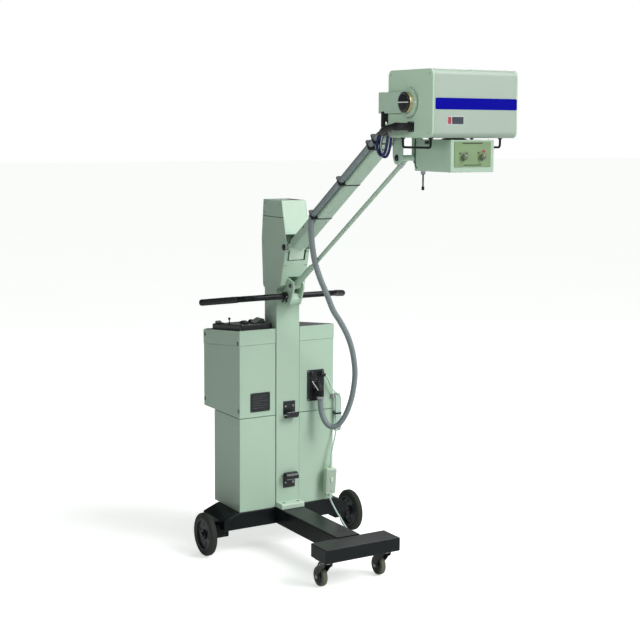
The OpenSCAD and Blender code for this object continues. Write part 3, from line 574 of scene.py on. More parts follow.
plug = [prism(rounded(150, -148, 46, 36, 9), "xy", 0.2, 26, PLUG, 3.0, 4),
    lathe([(0, 17), (4.4, 17), (5.2, 12), (5.6, 12), (6.2, 6), (6.6, 6), (8.4, 0), (8.4, -3), (0, -3)],
    (174, -148, 13), RIGHT, PLUG, 24), prism(rounded(126, -148, 4, 30, 1.5), "xy", 3, 23, PLUG, 1.2, 2)]
plug += [lathe([(0, 18), (1.6, 18), (2.4, 16.5), (2.4, 8), (2.3, 8), (2.3, 0), (0, 0)], (127, -148 + dy, 13), LEFT,
    ZINC, 24) for dy in (-9.5, 9.5)]
plug = piece("mains_plug_body", plug, "cart", "mains_plug")

# the plug-in connector on the socket plate's edge
piece("lead_connector",
    [lathe([(0, 16), (6, 16), (7.4, 12), (7.4, 4), (10.5, 3), (10.5, -6), (0, -6)], (164, -8, 733),
    (0.9, -0.25, -0.3), RUBBER, 28), lathe([(0, 6), (12.5, 6), (13, 5), (13, -2), (0, -2)], (160, 1, 733), FRONT,
    BLACK, 32)], "cart")
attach(cord_a, "cart")
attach(cord_b, "cart")
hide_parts("lead_upper", "lead_hank")
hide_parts("lead_lower", "lead_coil")
piece("hank_tie", [prism(rounded(244, 4, 34, 45, 9), "xy", 552, 560, BLACK, 1.0, 2)], "cart")

# ---- cart

half = 302
base = prism([(-half, 108), (half, 108), (half, 150), (234, 178), (-234, 178), (-half, 150)], "xz", 0, 200, GLOSS, 4,
    3)
cut(base, *[block((x0, 8, 100), (x0 + 152, 192, 170), GLOSS, 0) for x0 in (-248, -76, 96)])
parts = [base]
for s in (-1, 1):
    parts += [slab(s, 262, 318, (37, 73), (95, 127), GLOSS, 4, 3),
        pin(8, 62, -2, (s * 312, AXLE_Y, AXLE_Z), (s, 0, 0), ZINC, 32),
        lathe([(0, 5.6), (7, 5.6), (9.5, 4.6), (11.8, 2), (12, 0), (0, 0)], (s * 372.2, AXLE_Y, AXLE_Z), (s, 0, 0),
        BLACK, 32), washer(8, 14, 2.4, 0, (s * 318.5, AXLE_Y, AXLE_Z), (s, 0, 0), ZINC, 32)]
    parts += [hex_bolt((s * 285, 37, z), FRONT, 4.5, 3.5, BLACK) for z in (86, 114)]
piece("chassis_shell", parts, "cart", "chassis")

piece("leg_shell", [
    prism(rounded(0, 141.5, 108, 71, 5), "xz", -487, -0.2, GLOSS, 0.8, 2),
    block((-50, -480, 103.5), (-20, -440, 106.5), GLOSS, 1)], "cart", "leg_beam")

beam = prism(rounded(0, 146, 344, 54, 3.5), "xz", -600, -487, GLOSS, 2.4, 3)
cut(beam, *[block((x0, -592, 110), (x0 + 100, -495, 165), GLOSS, 0) for x0 in (-106, 6)])
parts = [beam]
for s in (-1, 1):
    parts.append(prism(rounded(s * CASTER_X, CASTER_Y, 66, 74, 6), "xy", 116.2, 119.4, BLACK, 0.8, 2))
    parts += [hex_bolt((s * CASTER_X + dx, CASTER_Y + dy, 116.4), DOWN, 4, 3, ZINC) for dx in (-24, 24)
        for dy in (-28, 28)]
piece("front_beam_shell", parts, "cart", "front_beam")

# foot bracket with two recessed bolts
foot = prism([(-0.4, 178), (-50, 178), (-50, 195), (-45, 199.5), (-0.4, 199.5)], "yz", -54, 54, PALE, 1.2, 3)
cut(foot, *[pin(9.5, 20, 0, (sx, -24, 189), UP, DARK_SHADE_AND_LINES, 32) for sx in (-34, 34)])
piece("foot_bracket_shell", [foot] + [hex_bolt((sx, -24, 189.5), UP, 5.6, 5, BLACK) for sx in (-34, 34)], "cart",
    "foot_bracket")

# column
cheeks = []
cheeks += [prism([(1, 1240), (1, 1344), (-60, 1309), (-76, 1303), (-81, 1292), (-76, 1281), (-60, 1275)], "yz",
    *span(s, 35.8, 41.6), GREEN, 0.8, 2) for s in (-1, 1)]
piece("column_shell", [prism(rounded(0, 52, 112, 104, 3.2), "xy", 178, 1440, GREEN, 0.6, 2)] + cheeks, "cart",
    "column")


def lid(y):
    return 946 - (y - 4) * LID_FALL


def c_shape(w, y0, y1, gap=58, deep=108, r=3.0):
    """The cabinet's outline from above, open in front for the column."""
    pts = []
    for cx, cy, a0 in ((-w + r, y0 + r, 180), (-gap - 1.5, y0 + 1.5, 270)):
        rr = r if cx < -w / 2 else 1.5
        pts += [(cx + rr * cos(radians(a0 + a)), cy + rr * sin(radians(a0 + a))) for a in (0, 30, 60, 90)]
    left = pts + [(-gap, deep)]
    right = [(-px, py) for px, py in reversed(left)]
    back = [(w - r + r * sin(radians(a)), y1 - r + r * cos(radians(a))) for a in (90, 60, 30, 0)]
    return left + right + back + [(-px, py) for px, py in reversed(back)]


lower = prism(c_shape(228, 4, 240), "xy", 178.4, 574.6, GREEN, 0.9, 2, 50)
piece("lower_cabinet_shell", [lower], "cart", "lower_cabinet")
upper = prism(c_shape(228, 4, 340), "xy", 577.4, lambda px, py: lid(py) - 62.8, GREEN, 0.9, 2, 50)
piece("upper_cabinet_shell", [upper], "cart", "upper_cabinet")
band = prism(c_shape(229.4, 2.6, 341.4), "xy", lambda px, py: lid(py) - 62, lambda px, py: lid(py), GREEN, 0.9, 2, 50)
cut(band, prism([(-224.5, 6.5), (224.5, 6.5), (224.5, 337.5), (-224.5, 337.5)], "xy", lambda px, py: lid(py) - 9,
    1000, GREEN, 0))
piece("cabinet_band_shell", [band], "cart", "cabinet_band")

# rear covers with louvres and screws; the dark strip under each louvre is painted shade
parts = [block((-222, 238, 184), (222, 242.4, 570), GREEN, 1.0),
    block((-222, 338, 584), (222, 342.4, 838), GREEN, 1.0)]
for k in range(9):
    z = 250 + 16 * k
    for cx in (-110, 110):
        parts.append(prism([(241.6, z), (246.5, z + 1), (242.2, z + 9), (241.6, z + 9)], "yz", cx - 70, cx + 70,
            GREEN, 0.5, 2))
        # painted shade under the louvre
        parts.append(block((cx - 68, 242.2, z - 3), (cx + 68, 242.8, z - 0.4), DARK_SHADE_AND_LINES, 0))
for k in range(6):
    z = 640 + 16 * k
    parts.append(prism([(341.6, z), (346.0, z + 1), (342.2, z + 9), (341.6, z + 9)], "yz", -120, 120, GREEN, 0.5, 2))
    # painted shade under the louvre
    parts.append(block((-118, 342.2, z - 3), (118, 342.8, z - 0.4), DARK_SHADE_AND_LINES, 0))
for sx in (-208, 208):
    parts += [screw((sx, 242.4, z), BACK) for z in (198, 377, 556)]
    parts += [screw((sx, 342.4, z), BACK) for z in (600, 711, 822)]
piece("rear_cover_panels", parts, "cart", "rear_covers")

# screws on the cabinet's sides, each on a dark disc that is painted shade for a small dimple
parts = []
for s in (-1, 1):
    for y, z in ((20, 892), (326, 892), (14, 608), (329, 608)):
        # the dark disc is painted shade for the dimple
        parts += [lathe([(0, 0.5), (8, 0.5), (8.4, 0.1), (8.4, -0.4), (0, -0.4)],
            (s * (229.5 if z > 800 else 228.1), y, z), (s, 0, 0), DARK_SHADE_AND_LINES, 28),
            screw((s * (230 if z > 800 else 228.6), y, z), (s, 0, 0), 5, 2.6)]
    parts += [screw((s * 228.2, y, z), (s, 0, 0), 3.6, 1.6, GREEN)
        for y, z in ((22, 548), (222, 548), (22, 204), (222, 204))]
piece("side_screws", parts, "cart", "fixings")

# ---- control panel

cover = prism([(7, lid(7) - 7), (337, lid(337) - 7), (337, lid(337) + 1.5), (7, lid(7) + 1.5)], "yz", -224, 224,
    BLACK, 1.0, 2)
cut(cover, block((-58, -10, 800), (58, 108, 1000), BLACK, 0))


def top_z(y):
    return lid(y) + 23


console = prism([(30, lid(30) - 3), (305, lid(305) - 3), (305, top_z(305)), (30, top_z(30))], "yz", -204, -62, BLACK,
    4, 4)
cut(console, pin(3.6, 40, 0, (*KV_AT, top_z(62) - 18), UP, DARK_SHADE_AND_LINES, 24),
    pin(3.6, 40, 0, (*MA_AT, top_z(126) - 18), UP, DARK_SHADE_AND_LINES, 24), block((-197, 161, 920), (-183, 179, 960), DARK_SHADE_AND_LINES, 0),
    block((-199.5, 252.5, 900), (-170.5, 293.5, 960), DARK_SHADE_AND_LINES, 0))
hood = prism([(-128, 952), (-128, 966), (-97, 984), (-88, 984), (-79, 954)], "xz", 48, 104, BLACK, 2.2, 3)
parts = [cover, console, hood, prism([(-126, 966.4), (-99, 982.2), (-98.4, 983.4), (-126.2, 967.6)], "xz", 54, 98,
    METER, 0.3, 2)]
slope = atan(LID_FALL)


def flat_on_console(o, y):
    c = V(0, y, top_z(y))
    o.data.transform(Matrix.Translation(c) @ Matrix.Rotation(-slope, 4, "X") @ Matrix.Translation(-c))
    return o


for cx, cy, rr in ((*KV_AT, 22), (*MA_AT, 17)):
    for k in range(11):
        long = 4.5 if k % 5 == 0 else 2.8
        mark = tick(cx, cy, rr, rr + long, 0.45, 225 - 27 * k)
        parts.append(flat_on_console(prism(mark, "xy", top_z(cy) - 0.3, top_z(cy) + 0.25, WHITE, 0), cy))
parts += [flat_on_console(lathe([(0, 3.2), (2.6, 2.6), (4, 0.8), (4.6, 0.6), (4.6, -0.6), (0, -0.6)],
    (-150 + 24 * k, 232, top_z(232)), UP, m, 24), 232) for k, m in enumerate((LAMP, AMBER, LAMP))]
parts += [flat_on_console(block((cx - w / 2, cy - h / 2, top_z(cy) - 0.3), (cx + w / 2, cy + h / 2, top_z(cy) + 0.2),
    WHITE, 0), cy) for cx, cy, w, h in ((-130, 270, 58, 1.2), (-130, 262, 40, 1.2), (-190, 196, 14, 1.0),
    (-185, 298, 22, 1.0))]
parts += [flat_on_console(screw((cx, cy, top_z(cy)), UP, 3.0, 1.6), cy) for cx in (-196, -70) for cy in (40, 296)]
parts += [screw((cx, cy, lid(cy) + 1.5), UP, 3.4, 1.6) for cx in (-214, 214) for cy in (20, 326)]
piece("control_panel_lid", parts, "cart", "control_panel")


def knob(name, cx, cy, r, h, body, node):
    z = top_z(cy) + 3
    prof = [(0, h), (0.55 * r, h), (0.8 * r, h - 1.5), (0.93 * r, h - 4), (r, 3), (r, 0.8), (0.96 * r, 0), (3, 0),
        (3, -14), (0, -14)]
    o = lathe(prof, (cx, cy, z), UP, PLASTIC, 48)
    ribs = []
    for k in range(18):
        a = radians(20 * k)
        ribs.append(lathe([(0, 0.6 * h), (0.9, 0.55 * h), (1.1, 0.8), (0, 0.4)],
            (cx + 0.975 * r * cos(a), cy + 0.975 * r * sin(a), z), UP, PLASTIC, 8))
    mark = block((cx - 0.8, cy + 0.2 * r, z + h - 2.2), (cx + 0.8, cy + 0.86 * r, z + h + 0.25), WHITE, 0.2, 2)
    piece(name, [o, mark] + ribs, body, node)


knob("kv_dial", *KV_AT, 18, 14, "kv_control", "kv_knob")
knob("ma_dial", *MA_AT, 13.5, 13, "ma_control", "ma_knob")
z = top_z(170) - 4
piece("exposure_lever",
    [lathe([(0, -3), (2.2, -3), (2.6, 6), (2.2, 16), (2.4, 22), (4.4, 24), (5.6, 27), (5.6, 29), (4.2, 32),
    (0, 33.4)], (LEVER_X, LEVER_Y, z), UP, BLACK, 28), pin(3.4, 5, -5, (LEVER_X, LEVER_Y, z), RIGHT, ZINC, 24)],
    "exposure_switch", "exposure_toggle")
z = top_z(273)
piece("power_rocker_cap",
    [prism([(258, z + 6), (273, z + 3.5), (288, z + 11), (288.4, z - 1), (280, z - 7), (266, z - 7), (258, z - 2)],
    "yz", -198, -172, PLASTIC, 1.2, 3), block((-190, 279, z + 7.2), (-180, 280.2, z + 7.9), WHITE, 0)],
    "power_switch", "power_rocker")

# ---- plates, hooks, gland

parts = [block((-177, 1.2, 600), (-85, 4.2, 680), BLACK, 1.0, 3),
    block((-173, 0.7, 604), (-89, 1.6, 676), PLASTIC, 0.2, 2)]
for k, w in enumerate((60, 46, 70, 38, 64, 52)):
    z = 666 - 10 * k
    parts.append(block((-166, 0.5, z - 0.5), (-166 + w, 0.9, z + 0.5), GREY, 0))
parts += [screw((sx, 1.0, z), FRONT, 1.6, 0.8) for sx in (-174.6, -87.4) for z in (603, 677)]
parts += [prism(rounded(138, 687, 82, 134, 5), "xz", 0.2, 4.2, BLACK, 1.2, 3)]
parts += [screw((sx, 0.2, z), FRONT, 3, 1.5) for sx in (102, 174) for z in (626, 748)]
parts += [lathe([(0, 9), (8, 9), (10, 7), (10, 3), (13, 2), (13, -1), (0, -1)], (120, 0.2, 735), FRONT, BLACK, 32),
    lathe([(0, 5), (7, 5), (8, 4), (8, -1), (0, -1)], (118, 0.2, 706), FRONT, BLACK, 32),
    block((112, -4, 640), (132, 0.6, 668), BLACK, 1.5, 3)]
piece("front_plates_set", parts, "cart", "front_plates")

elbow = smooth_path([(142, 4, 690), (142, -6, 690), (142, -17, 687), (142, -25, 679), (142, -29, 668),
    (142, -30, 654), (142, -30, 640)], 3)
gland = [tube(elbow, 14.6, RUBBER, 28), lathe([(0, 4), (21, 4), (23, 2), (23, -2), (0, -2)], (142, 0, 690), FRONT,
    BLACK, 40), washer(12.4, 16.6, 0, 9, (142, -30, 634), UP, ZINC, 40)]
gland += [lathe([(14, 0), (16.2, 0.8), (16.2, 3.2), (14, 4)], (142, -30, 644 + 5.2 * k), UP, RUBBER, 32)
    for k in range(5)]
gland += [screw((142 + 18 * cos(radians(45 + 90 * a)), -4, 690 + 18 * sin(radians(45 + 90 * a))), FRONT, 1.9, 1)
    for a in range(4)]
# the thin white wire from the socket into the sleeve
wire = smooth_path([(118, -5, 706), (117, -14, 700), (120, -24, 690), (127, -32, 676), (133, -35, 660),
    (136, -38, 648)], 3)
gland.append(tube(wire, 1.9, WHITE, 10))
piece("hose_gland_elbow", gland, "cart", "hose_gland")


def hook(flip):
    def up(z):
        return 890 - z if flip else z
    x0, x1 = -22, 34
    parts = []
    outer = [(0.0, 632), (0.0, 580)] + disc(-18, 580, 18, 14, -12, -180) + [(-36, 590)]
    inner = [(-33, 590)] + disc(-18, 580, 15, 14, -180, -12) + [(-3, 632)]
    ring = [(y, up(z)) for y, z in outer + inner]
    parts.append(prism(ring, "yz", x0, x1, BLACK, 0.5, 2))
    # the zinc strip along the lip of the hook's curl is a painted highlight
    parts.append(block((x0, -36.2, min(up(589), up(590.6))), (x1, -32.8, max(up(589), up(590.6))), ZINC, 0.3, 2))
    parts.append(block((x0, -3.2, min(up(586), up(630))), (x1, 4.2, max(up(586), up(630))), BLACK, 0.8, 2))
    parts += [screw((dx, -3.2, up(610)), FRONT, 4.2, 2) for dx in (-12, 24)]
    return parts


bar = [lathe([(0, 46), (6.6, 46), (7.4, 45), (7.4, 43), (5.2, 42), (5.2, 3), (8, 2), (8, -3), (0, -3)], (216, 4, 632),
    RIGHT, ZINC, 28)]
bar += [prism(rounded(221, 0, 10, 22, 2), "xy", 624, 640, ZINC, 0.8, 2), screw((228, 4, 632), UP, 2.5, 6)]
piece("cord_hook_set", hook(False) + hook(True) + bar, "cart", "cord_hooks")

# ---- column head

def brow(z):
    return -86 + (z - 1312) * 41 / 172


def jaw(z):
    return -86 + (1312 - z) * 48 / 181


parts = []
for s in (-1, 1):
    a0, a1 = span(s, 56.2, 58)
    parts += [prism([(brow(1415), 1415), (116.4, 1415), (110, 1484), (-45, 1484)], "yz", a0, a1, GREEN, 0.7, 2, 12),
        prism([(-5, 1111), (106, 1111), (114, 1124), (126, 1315), (116.8, 1412.6), (brow(1412.6), 1412.6),
        (-86, 1312), (-38, 1131)], "yz", a0, a1, GREEN, 0.7, 2, 12),
        prism([(brow(1415) + 2, 1410), (115, 1410), (115, 1418), (brow(1415) + 2, 1418)], "yz", s * 55.2 - 1, s * 55.2
        + 1, DARK_SHADE_AND_LINES, 0)]
    parts += [screw((s * 58, y, z), (s, 0, 0), 3.2, 1.5)
        for y, z in ((-28, 1468), (98, 1468), (98, 1430), (100, 1130), (112, 1300), (108, 1395))]
parts.append(prism([(106, 1111), (114, 1124), (126, 1315), (110, 1484), (108, 1484), (124, 1315), (112, 1125),
    (104.5, 1112)], "yz", -56.4, 56.4, GREEN, 0.4, 2, 12))
piece("housing_panels", parts, "cart", "housing_shell")

front = prism([(brow(1484), 1484), (brow(1346), 1346), (brow(1346) + 2, 1346), (brow(1484) + 2, 1484)], "yz", -56, 56,
    GREEN, 0.5, 2)
chin = prism([(jaw(1283) - 3, 1283), (jaw(1283) - 3, 1279), (jaw(1279), 1279), (-38, 1131), (-5, 1111), (-3, 1112),
    (-36, 1132), (jaw(1283) + 2, 1283)], "yz", -56, 56, GREEN, 0.5, 2, 12)
cut(chin, block((-42.5, -100, 1236), (42.5, -40, 1284), GREEN, 0),
    block((-27.5, -100, 1105), (27.5, -2, 1166), GREEN, 0))
lines = [prism([(jaw(z) - 0.6, z), (jaw(z) - 0.6, z - 1.2), (jaw(z) + 0.5, z - 1.2), (jaw(z) + 0.5, z)], "yz", x0, x1,
    DARK_SHADE_AND_LINES, 0) for z in (1272, 1216) for x0, x1 in ((-55, -43), (43, 55))]
piece("housing_front_panels", [front, chin] + lines, "cart", "housing_front")
piece("housing_cap_plate", [prism(rounded(0, 33.5, 111, 147, 4), "xy", 1474, 1480.5, BLACK, 1.6, 3)], "cart",
    "housing_cap")

parts = [pin(8, 60, -60, PIVOT, RIGHT, ZINC, 32), pin(6, 33, -33, (0, PIVOT_Y, LINK_Z), RIGHT, ZINC, 32)]
for s in (-1, 1):
    parts += [lathe([(0, 4.6), (7, 4.5), (11, 3.6), (13.6, 1.6), (14, 0.6), (14, -0.4), (0, -0.4)],
        (s * 58, PIVOT_Y, PIVOT_Z), (s, 0, 0), BLACK, 40),
        lathe([(0, 6), (5, 6), (8, 4.6), (9, 3), (9, 0), (0, 0)], (s * 27, PIVOT_Y, LINK_Z), (s, 0, 0), BLACK, 6),
        washer(6.2, 10, 1.4, 0, (s * 27, PIVOT_Y, LINK_Z), (s, 0, 0), ZINC, 32)]
piece("pivot_pin_set", parts, "cart", "pivot_pins")

parts = [prism(rounded(0, 1107, 64, 118, 4), "xz", -6, -0.2, GREEN, 1.2, 3)]
rib = [(-4, 1164), (-34, 1164), (-84, 1149), (-90, 1144), (-92, 1136), (-92, 1122), (-62, 1052), (-58, 1050),
    (-4, 1050)]
for s in (-1, 1):
    parts.append(prism(rib, "yz", *span(s, 19, 27), GREEN, 1.3, 3, 12))
    parts += [hex_bolt((s * 29.3, -5.6, z), FRONT, 2.6, 3, BLACK) for z in (1060, 1154)]
    parts.append(hex_bolt((s * 27, -24, 1142), (s, 0, 0), 4.5, 3, BLACK))
    parts.append(hex_bolt((s * 27, -35, 1066), (s, 0, 0), 5.5, 3.5, BLACK))
parts.append(prism([(-4, 1054), (-60, 1054), (-66, 1064), (-68, 1074), (-64, 1098), (-4, 1111)], "yz", -20, 20, GREEN,
    1.5, 3, 12))
piece("link_bracket_ribs", parts, "cart", "link_bracket")

# push bar: a bent tube with two grips
bar = [Vector(p) for p in ((-341, 119, 1060), (-285, 58, 1070), (-228, -4, 1080))]
for k in range(9):
    t = k / 8
    a, b, c = Vector((-222, -11, 1081.1)), Vector((-200, BAR_Y, BAR_Z)), Vector((-166, BAR_Y, BAR_Z))
    bar.append(a * (1 - t) ** 2 + b * 2 * t * (1 - t) + c * t * t)
bar += [Vector((-110, BAR_Y, BAR_Z)), Vector((0, BAR_Y, BAR_Z))]
bar += [Vector((-p.x, p.y, p.z)) for p in reversed(bar[:-1])]
parts = [tube(bar, 12.5, GLOSS, 32)]
for s in (-1, 1):
    tip, root = Vector((s * 341, 119, 1060)), Vector((s * 236, 4.3, 1078.6))
    d = (tip - root).normalized()
    n = (tip - root).length
    grip = [(0, n + 12.5), (7, n + 12.2), (11, n + 10), (13.4, n + 5)]
    for k in range(12):
        a = n - 6 - k * (n - 16) / 12
        grip += [(13.9, a), (13.9, a - 5), (13.3, a - 6), (13.3, a - 7)]
    grip += [(13.6, 6), (13.4, 1), (12.4, 0), (0, 0)]
    parts.append(lathe(grip, tuple(root), tuple(d), PLASTIC, 32))
    parts.append(lathe(both_ways([(12.4, 8), (16.5, 8), (18, 6.5)]), (s * 36, BAR_Y, BAR_Z), RIGHT, BLACK, 40))
    parts.append(screw((s * 36, -53, 1085), FRONT, 3, 1.6))
piece("push_bar", parts, "cart", "handlebar")

# ---- wheels


def wheel(body, node_tyre, node_hub):
    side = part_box(node_tyre)
    lo, hi = (min(c[0] for c in side) * 1000, max(c[0] for c in side) * 1000)
    x, half_w = (lo + hi) / 2, (hi - lo) / 2
    prof = [(66.2, -half_w + 0.6), (70, -half_w), (83, -half_w), (87, -half_w + 2.2), (89.2, -half_w + 6)]
    for k in range(-1, 2):
        prof += [(90, k * 5.4 - 1.9), (88.6, k * 5.4), (90, k * 5.4 + 1.9)]
    prof += [(r, -a) for r, a in reversed(prof[:5])]
    piece(node_tyre + "_mesh", [lathe(prof, (x, AXLE_Y, AXLE_Z), RIGHT, TYRE, 96)], body, node_tyre)
    rim = 66
    hubp = both_ways([(8.1, -half_w), (18.5, -half_w), (20, -half_w + 1.5), (21, -5.6), (24, -5), (rim - 11, -5),
        (rim - 8.6, -6), (rim - 7, -half_w + 2), (rim - 5.6, -half_w + 1), (rim, -half_w + 1)])
    parts = [lathe(hubp, (x, AXLE_Y, AXLE_Z), RIGHT, HUB, 72)]
    for k in range(6):
        a = radians(60 * k + 15)
        for side_ in (-1, 1):
            c = (x + side_ * 4.8, AXLE_Y + 40 * cos(a), AXLE_Z + 40 * sin(a))
            parts.append(lathe([(0, 2.4), (5.4, 2.4), (7, 1.2), (7.4, -0.3), (0, -0.3)], c, (side_, 0, 0), HUB, 24))
    piece(node_hub + "_mesh", parts, body, node_hub)


for hand in ("left", "right"):
    wheel("wheel_" + hand, "tyre_" + hand, "hub_" + hand)


def caster(s, side):
    cx, cy = s * CASTER_X, CASTER_Y
    drop = 118
    parts = [pin(8, drop + 30, drop - 8, (cx, cy, 0), UP, ZINC, 28),
        lathe([(8, drop), (15, drop), (16, drop - 1), (16, drop - 6), (19, drop - 7), (22.4, drop - 7.6),
        (23, drop - 9), (23, drop - 12), (21.6, drop - 14), (8, drop - 14)], (cx, cy, 0), UP, ZINC, 48),
        lathe([(12, drop - 8.4), (23.4, drop - 8.4), (23.9, drop - 9.4), (23.4, drop - 10.6), (12, drop - 10.6)],
        (cx, cy, 0), UP, BLACK, 48)]
    fork = [(-20, drop - 10), (20, drop - 10), (30, drop - 18), (54, 50), (55, 40), (52, 32), (46, 29), (36, 29),
        (30, 33), (27, 52), (-2, drop - 34), (-16, drop - 26)]
    fork = [(cy + a, b) for a, b in fork]
    parts += [prism(fork, "yz", cx + x0, cx + x0 + 3.5, BLACK, 0.8, 2, 12) for x0 in (-19, 15.5)]
    parts.append(block((cx - 18.6, cy - 20, drop - 14.2), (cx + 18.6, cy + 22, drop - 10), BLACK, 1.2, 2))
    ax = (cx, cy + CASTER_TRAIL, 40)
    parts += [pin(4, 20, -20, ax, RIGHT, ZINC, 24), hex_bolt((cx - 19, cy + CASTER_TRAIL, 40), LEFT, 6, 3.4, ZINC),
        hex_bolt((cx + 19, cy + CASTER_TRAIL, 40), RIGHT, 6, 3.4, ZINC),
        lathe([(0, 1.2), (3.2, 1.2), (3.6, 0.6), (3.6, -0.4), (0, -0.4)], (cx - 19, cy + 14, 96), LEFT, ZINC, 20)]
    piece("caster_fork_%s_mesh" % side, parts, "caster_" + side, "caster_fork_" + side)
    r = 40
    prof = both_ways([(4.05, -12), (9.4, -12), (10.6, -11.4), (12, -9), (r - 12.4, -8.6), (r - 11, -10), (r - 9, -11),
        (r - 4, -11), (r - 1.4, -9.6), (r - 0.2, -6.6), (r, -4)])
    w = [lathe(prof, ax, RIGHT, TREAD, 64)]
    for side_ in (-1, 1):
        w.append(lathe([(9.6, 0.9), (27, 0.9), (28, 0.2), (28, -0.6), (9.6, -0.6)],
            (cx + side_ * 8.8, cy + CASTER_TRAIL, 40), (side_, 0, 0), HUB, 48))
        for k in range(5):
            a = radians(72 * k)
            w.append(lathe([(0, 2.2), (2.6, 2.2), (3.4, 1), (3.6, -0.2), (0, -0.2)],
                (cx + side_ * 9.6, cy + CASTER_TRAIL + 19 * cos(a), 40 + 19 * sin(a)), (side_, 0, 0), HUB, 16))
    piece("caster_wheel_%s_mesh" % side, w, "caster_%s_wheel" % side, "caster_wheel_" + side)


caster(-1, "left")
caster(1, "right")

# ---- arm

beam = prism(rounded(0, PIVOT_Z, 68, 40, 5), "xz", PIVOT_Y - 944, PIVOT_Y - 24, GREEN, 1.0, 3)
ends = [prism(rounded(0, PIVOT_Z, 68, 24, 3), "xz", PIVOT_Y - 26, PIVOT_Y - 4, PALE, 1.0, 2),
    prism(rounded(0, PIVOT_Z, 68, 24, 3), "xz", PIVOT_Y - 964, PIVOT_Y - 942, GREEN, 1.0, 2)]
seam = [prism(rounded(0, PIVOT_Z, 68.8, 40.8, 5.4), "xz", PIVOT_Y - s - 1.2, PIVOT_Y - s, PALE, 0.4, 2)
    for s in (40, 936)]
parts = [tilt_to_arm(o) for o in [beam] + ends + seam]
parts += [lathe(both_ways([(8.05, 35), (r - 1.2, 35), (r, 33.8)]), at, RIGHT, PALE if r == 15 else GREEN, 48)
    for at, r in ((PIVOT, 15), (TIP, 17))]
parts.append(prism([(jaw(1283), 1283), (jaw(1239), 1239), (jaw(1239) + 3, 1239), (-66, 1288)], "yz", -34, 34, PALE,
    0.6, 2, 12))
parts += [screw(on_arm(-34, s, 8), LEFT, 3.2, 1.4, BLACK) for s in (150, 640)]
piece("arm_beam", parts, "arm", "arm_tube")

straight = [Vector(on_arm(-48, 262 - 18 + 10 * k, 0)) for k in range(56)]
piece("arm_hose_run", [tube(straight, 11.7, HOSE, 24)], "arm", "arm_hose")
parts = []
for s in (262, 512, 760, 800):
    out = rounded(-13.2, PIVOT_Z, 97.4, 43.6, 6, 6)
    band = [prism(out, "xz", PIVOT_Y - s - 3.2, PIVOT_Y - s + 3.2, BLACK, 0.8, 2)]
    cut(band[0], prism(rounded(0, PIVOT_Z, 68.2, 40.2, 5), "xz", PIVOT_Y - s - 5, PIVOT_Y - s + 5, BLACK, 0),
        prism(disc(-48, PIVOT_Z, 11.9, 32), "xz", PIVOT_Y - s - 5, PIVOT_Y - s + 5, BLACK, 0))
    parts += [tilt_to_arm(o) for o in band]
    buckle = block((-30, PIVOT_Y - s - 4.4, 1313.6), (-14, PIVOT_Y - s + 4.4, 1317.4), BLACK, 0.9, 2)
    parts.append(tilt_to_arm(buckle))
piece("hose_tie_set", parts, "arm", "hose_ties")

coil_path = []
for k in range(46 * 14 + 1):
    a = 2 * pi * k / 14
    q = on_arm(13 * cos(a), 122 + 456 * k / (46 * 14), 13 * sin(a))
    coil_path.append(Vector(q))
piece("balance_spring_coils", [tube(coil_path, 1.9, STEEL, 8)], "arm", "balance_spring")

link_dir = (0, -cos(ARM), sin(ARM))
at = (0, PIVOT_Y, LINK_Z)
parts = [lathe([(0, 162), (8.6, 162), (11.4, 160), (12.5, 157), (12.5, 14), (11.5, 11), (0, 11)], at, link_dir, GREEN,
    40), pin(8.5, 958, 150, at, link_dir, GREEN, 36),
    lathe([(8.4, 936), (10.6, 935), (11, 930), (11, 914), (10.2, 910), (8.4, 909)], at, link_dir, ZINC, 36),
    lathe(both_ways([(6.05, 18.4), (14, 18.4), (15, 17.4)]), at, RIGHT, GREEN, 40),
    lathe(both_ways([(6.4, 36.2), (10.2, 36.2), (11, 35.4)]), LOW, RIGHT, GREEN, 40)]
piece("link_rod_mesh", parts, "link", "link_rod")

# ---- end bracket, lock knob and yoke


def rounded_poly(pts, r, n=5):
    """The outline with every corner rounded by about r."""
    out = []
    for i, p in enumerate(pts):
        a, b, c = Vector(pts[i - 1]), Vector(p), Vector(pts[(i + 1) % len(pts)])
        ra = min(r, (a - b).length * 0.45)
        rc = min(r, (c - b).length * 0.45)
        p0, p1 = b + (a - b).normalized() * ra, b + (c - b).normalized() * rc
        out += [tuple(p0 * (1 - t) ** 2 + b * 2 * t * (1 - t) + p1 * t * t) for t in [k / n for k in range(n + 1)]]
    return out


plate = rounded_poly([(TIP_Y - 24, TRUN_Z + 32), (TIP_Y + 22, TRUN_Z + 32), (TIP_Y + 28, TIP_Z), (TIP_Y + 27, LOW_Z),
    (TIP_Y + 12, LOW_Z - 24), (TIP_Y - 14, LOW_Z - 24), (TIP_Y - 28, LOW_Z), (TIP_Y - 36, TRUN_Z - 32),
    (TIP_Y - 70, TRUN_Z - 32), (TIP_Y - 70, TRUN_Z + 32)], 12)
parts = [prism(plate, "yz", *span(s, 37, 46), GREEN, 1.4, 3, 40) for s in (-1, 1)]
head_block = block((-46, TIP_Y - 76, TRUN_Z - 32), (46, TIP_Y - 34, TRUN_Z + 32), GREEN, 2.6, 3)
cut(head_block, prism(disc(0, TRUN_Z, 15.05, 48), "xz", TIP_Y - 80, TIP_Y - 30, DARK_SHADE_AND_LINES, 0))
parts += [head_block, pin(6, 45.5, -45.5, LOW, RIGHT, ZINC, 28), pin(8, 50, -57, TIP, RIGHT, ZINC, 32),
    lathe([(0, 6), (9, 6), (13, 4.4), (14, 2.4), (14, -0.2), (0, -0.2)], (46, TIP_Y, TIP_Z), RIGHT, BLACK, 36),
    block((-60, TIP_Y - 12, 1752), (-45, TIP_Y, 1780), BLACK, 1.4, 2)]
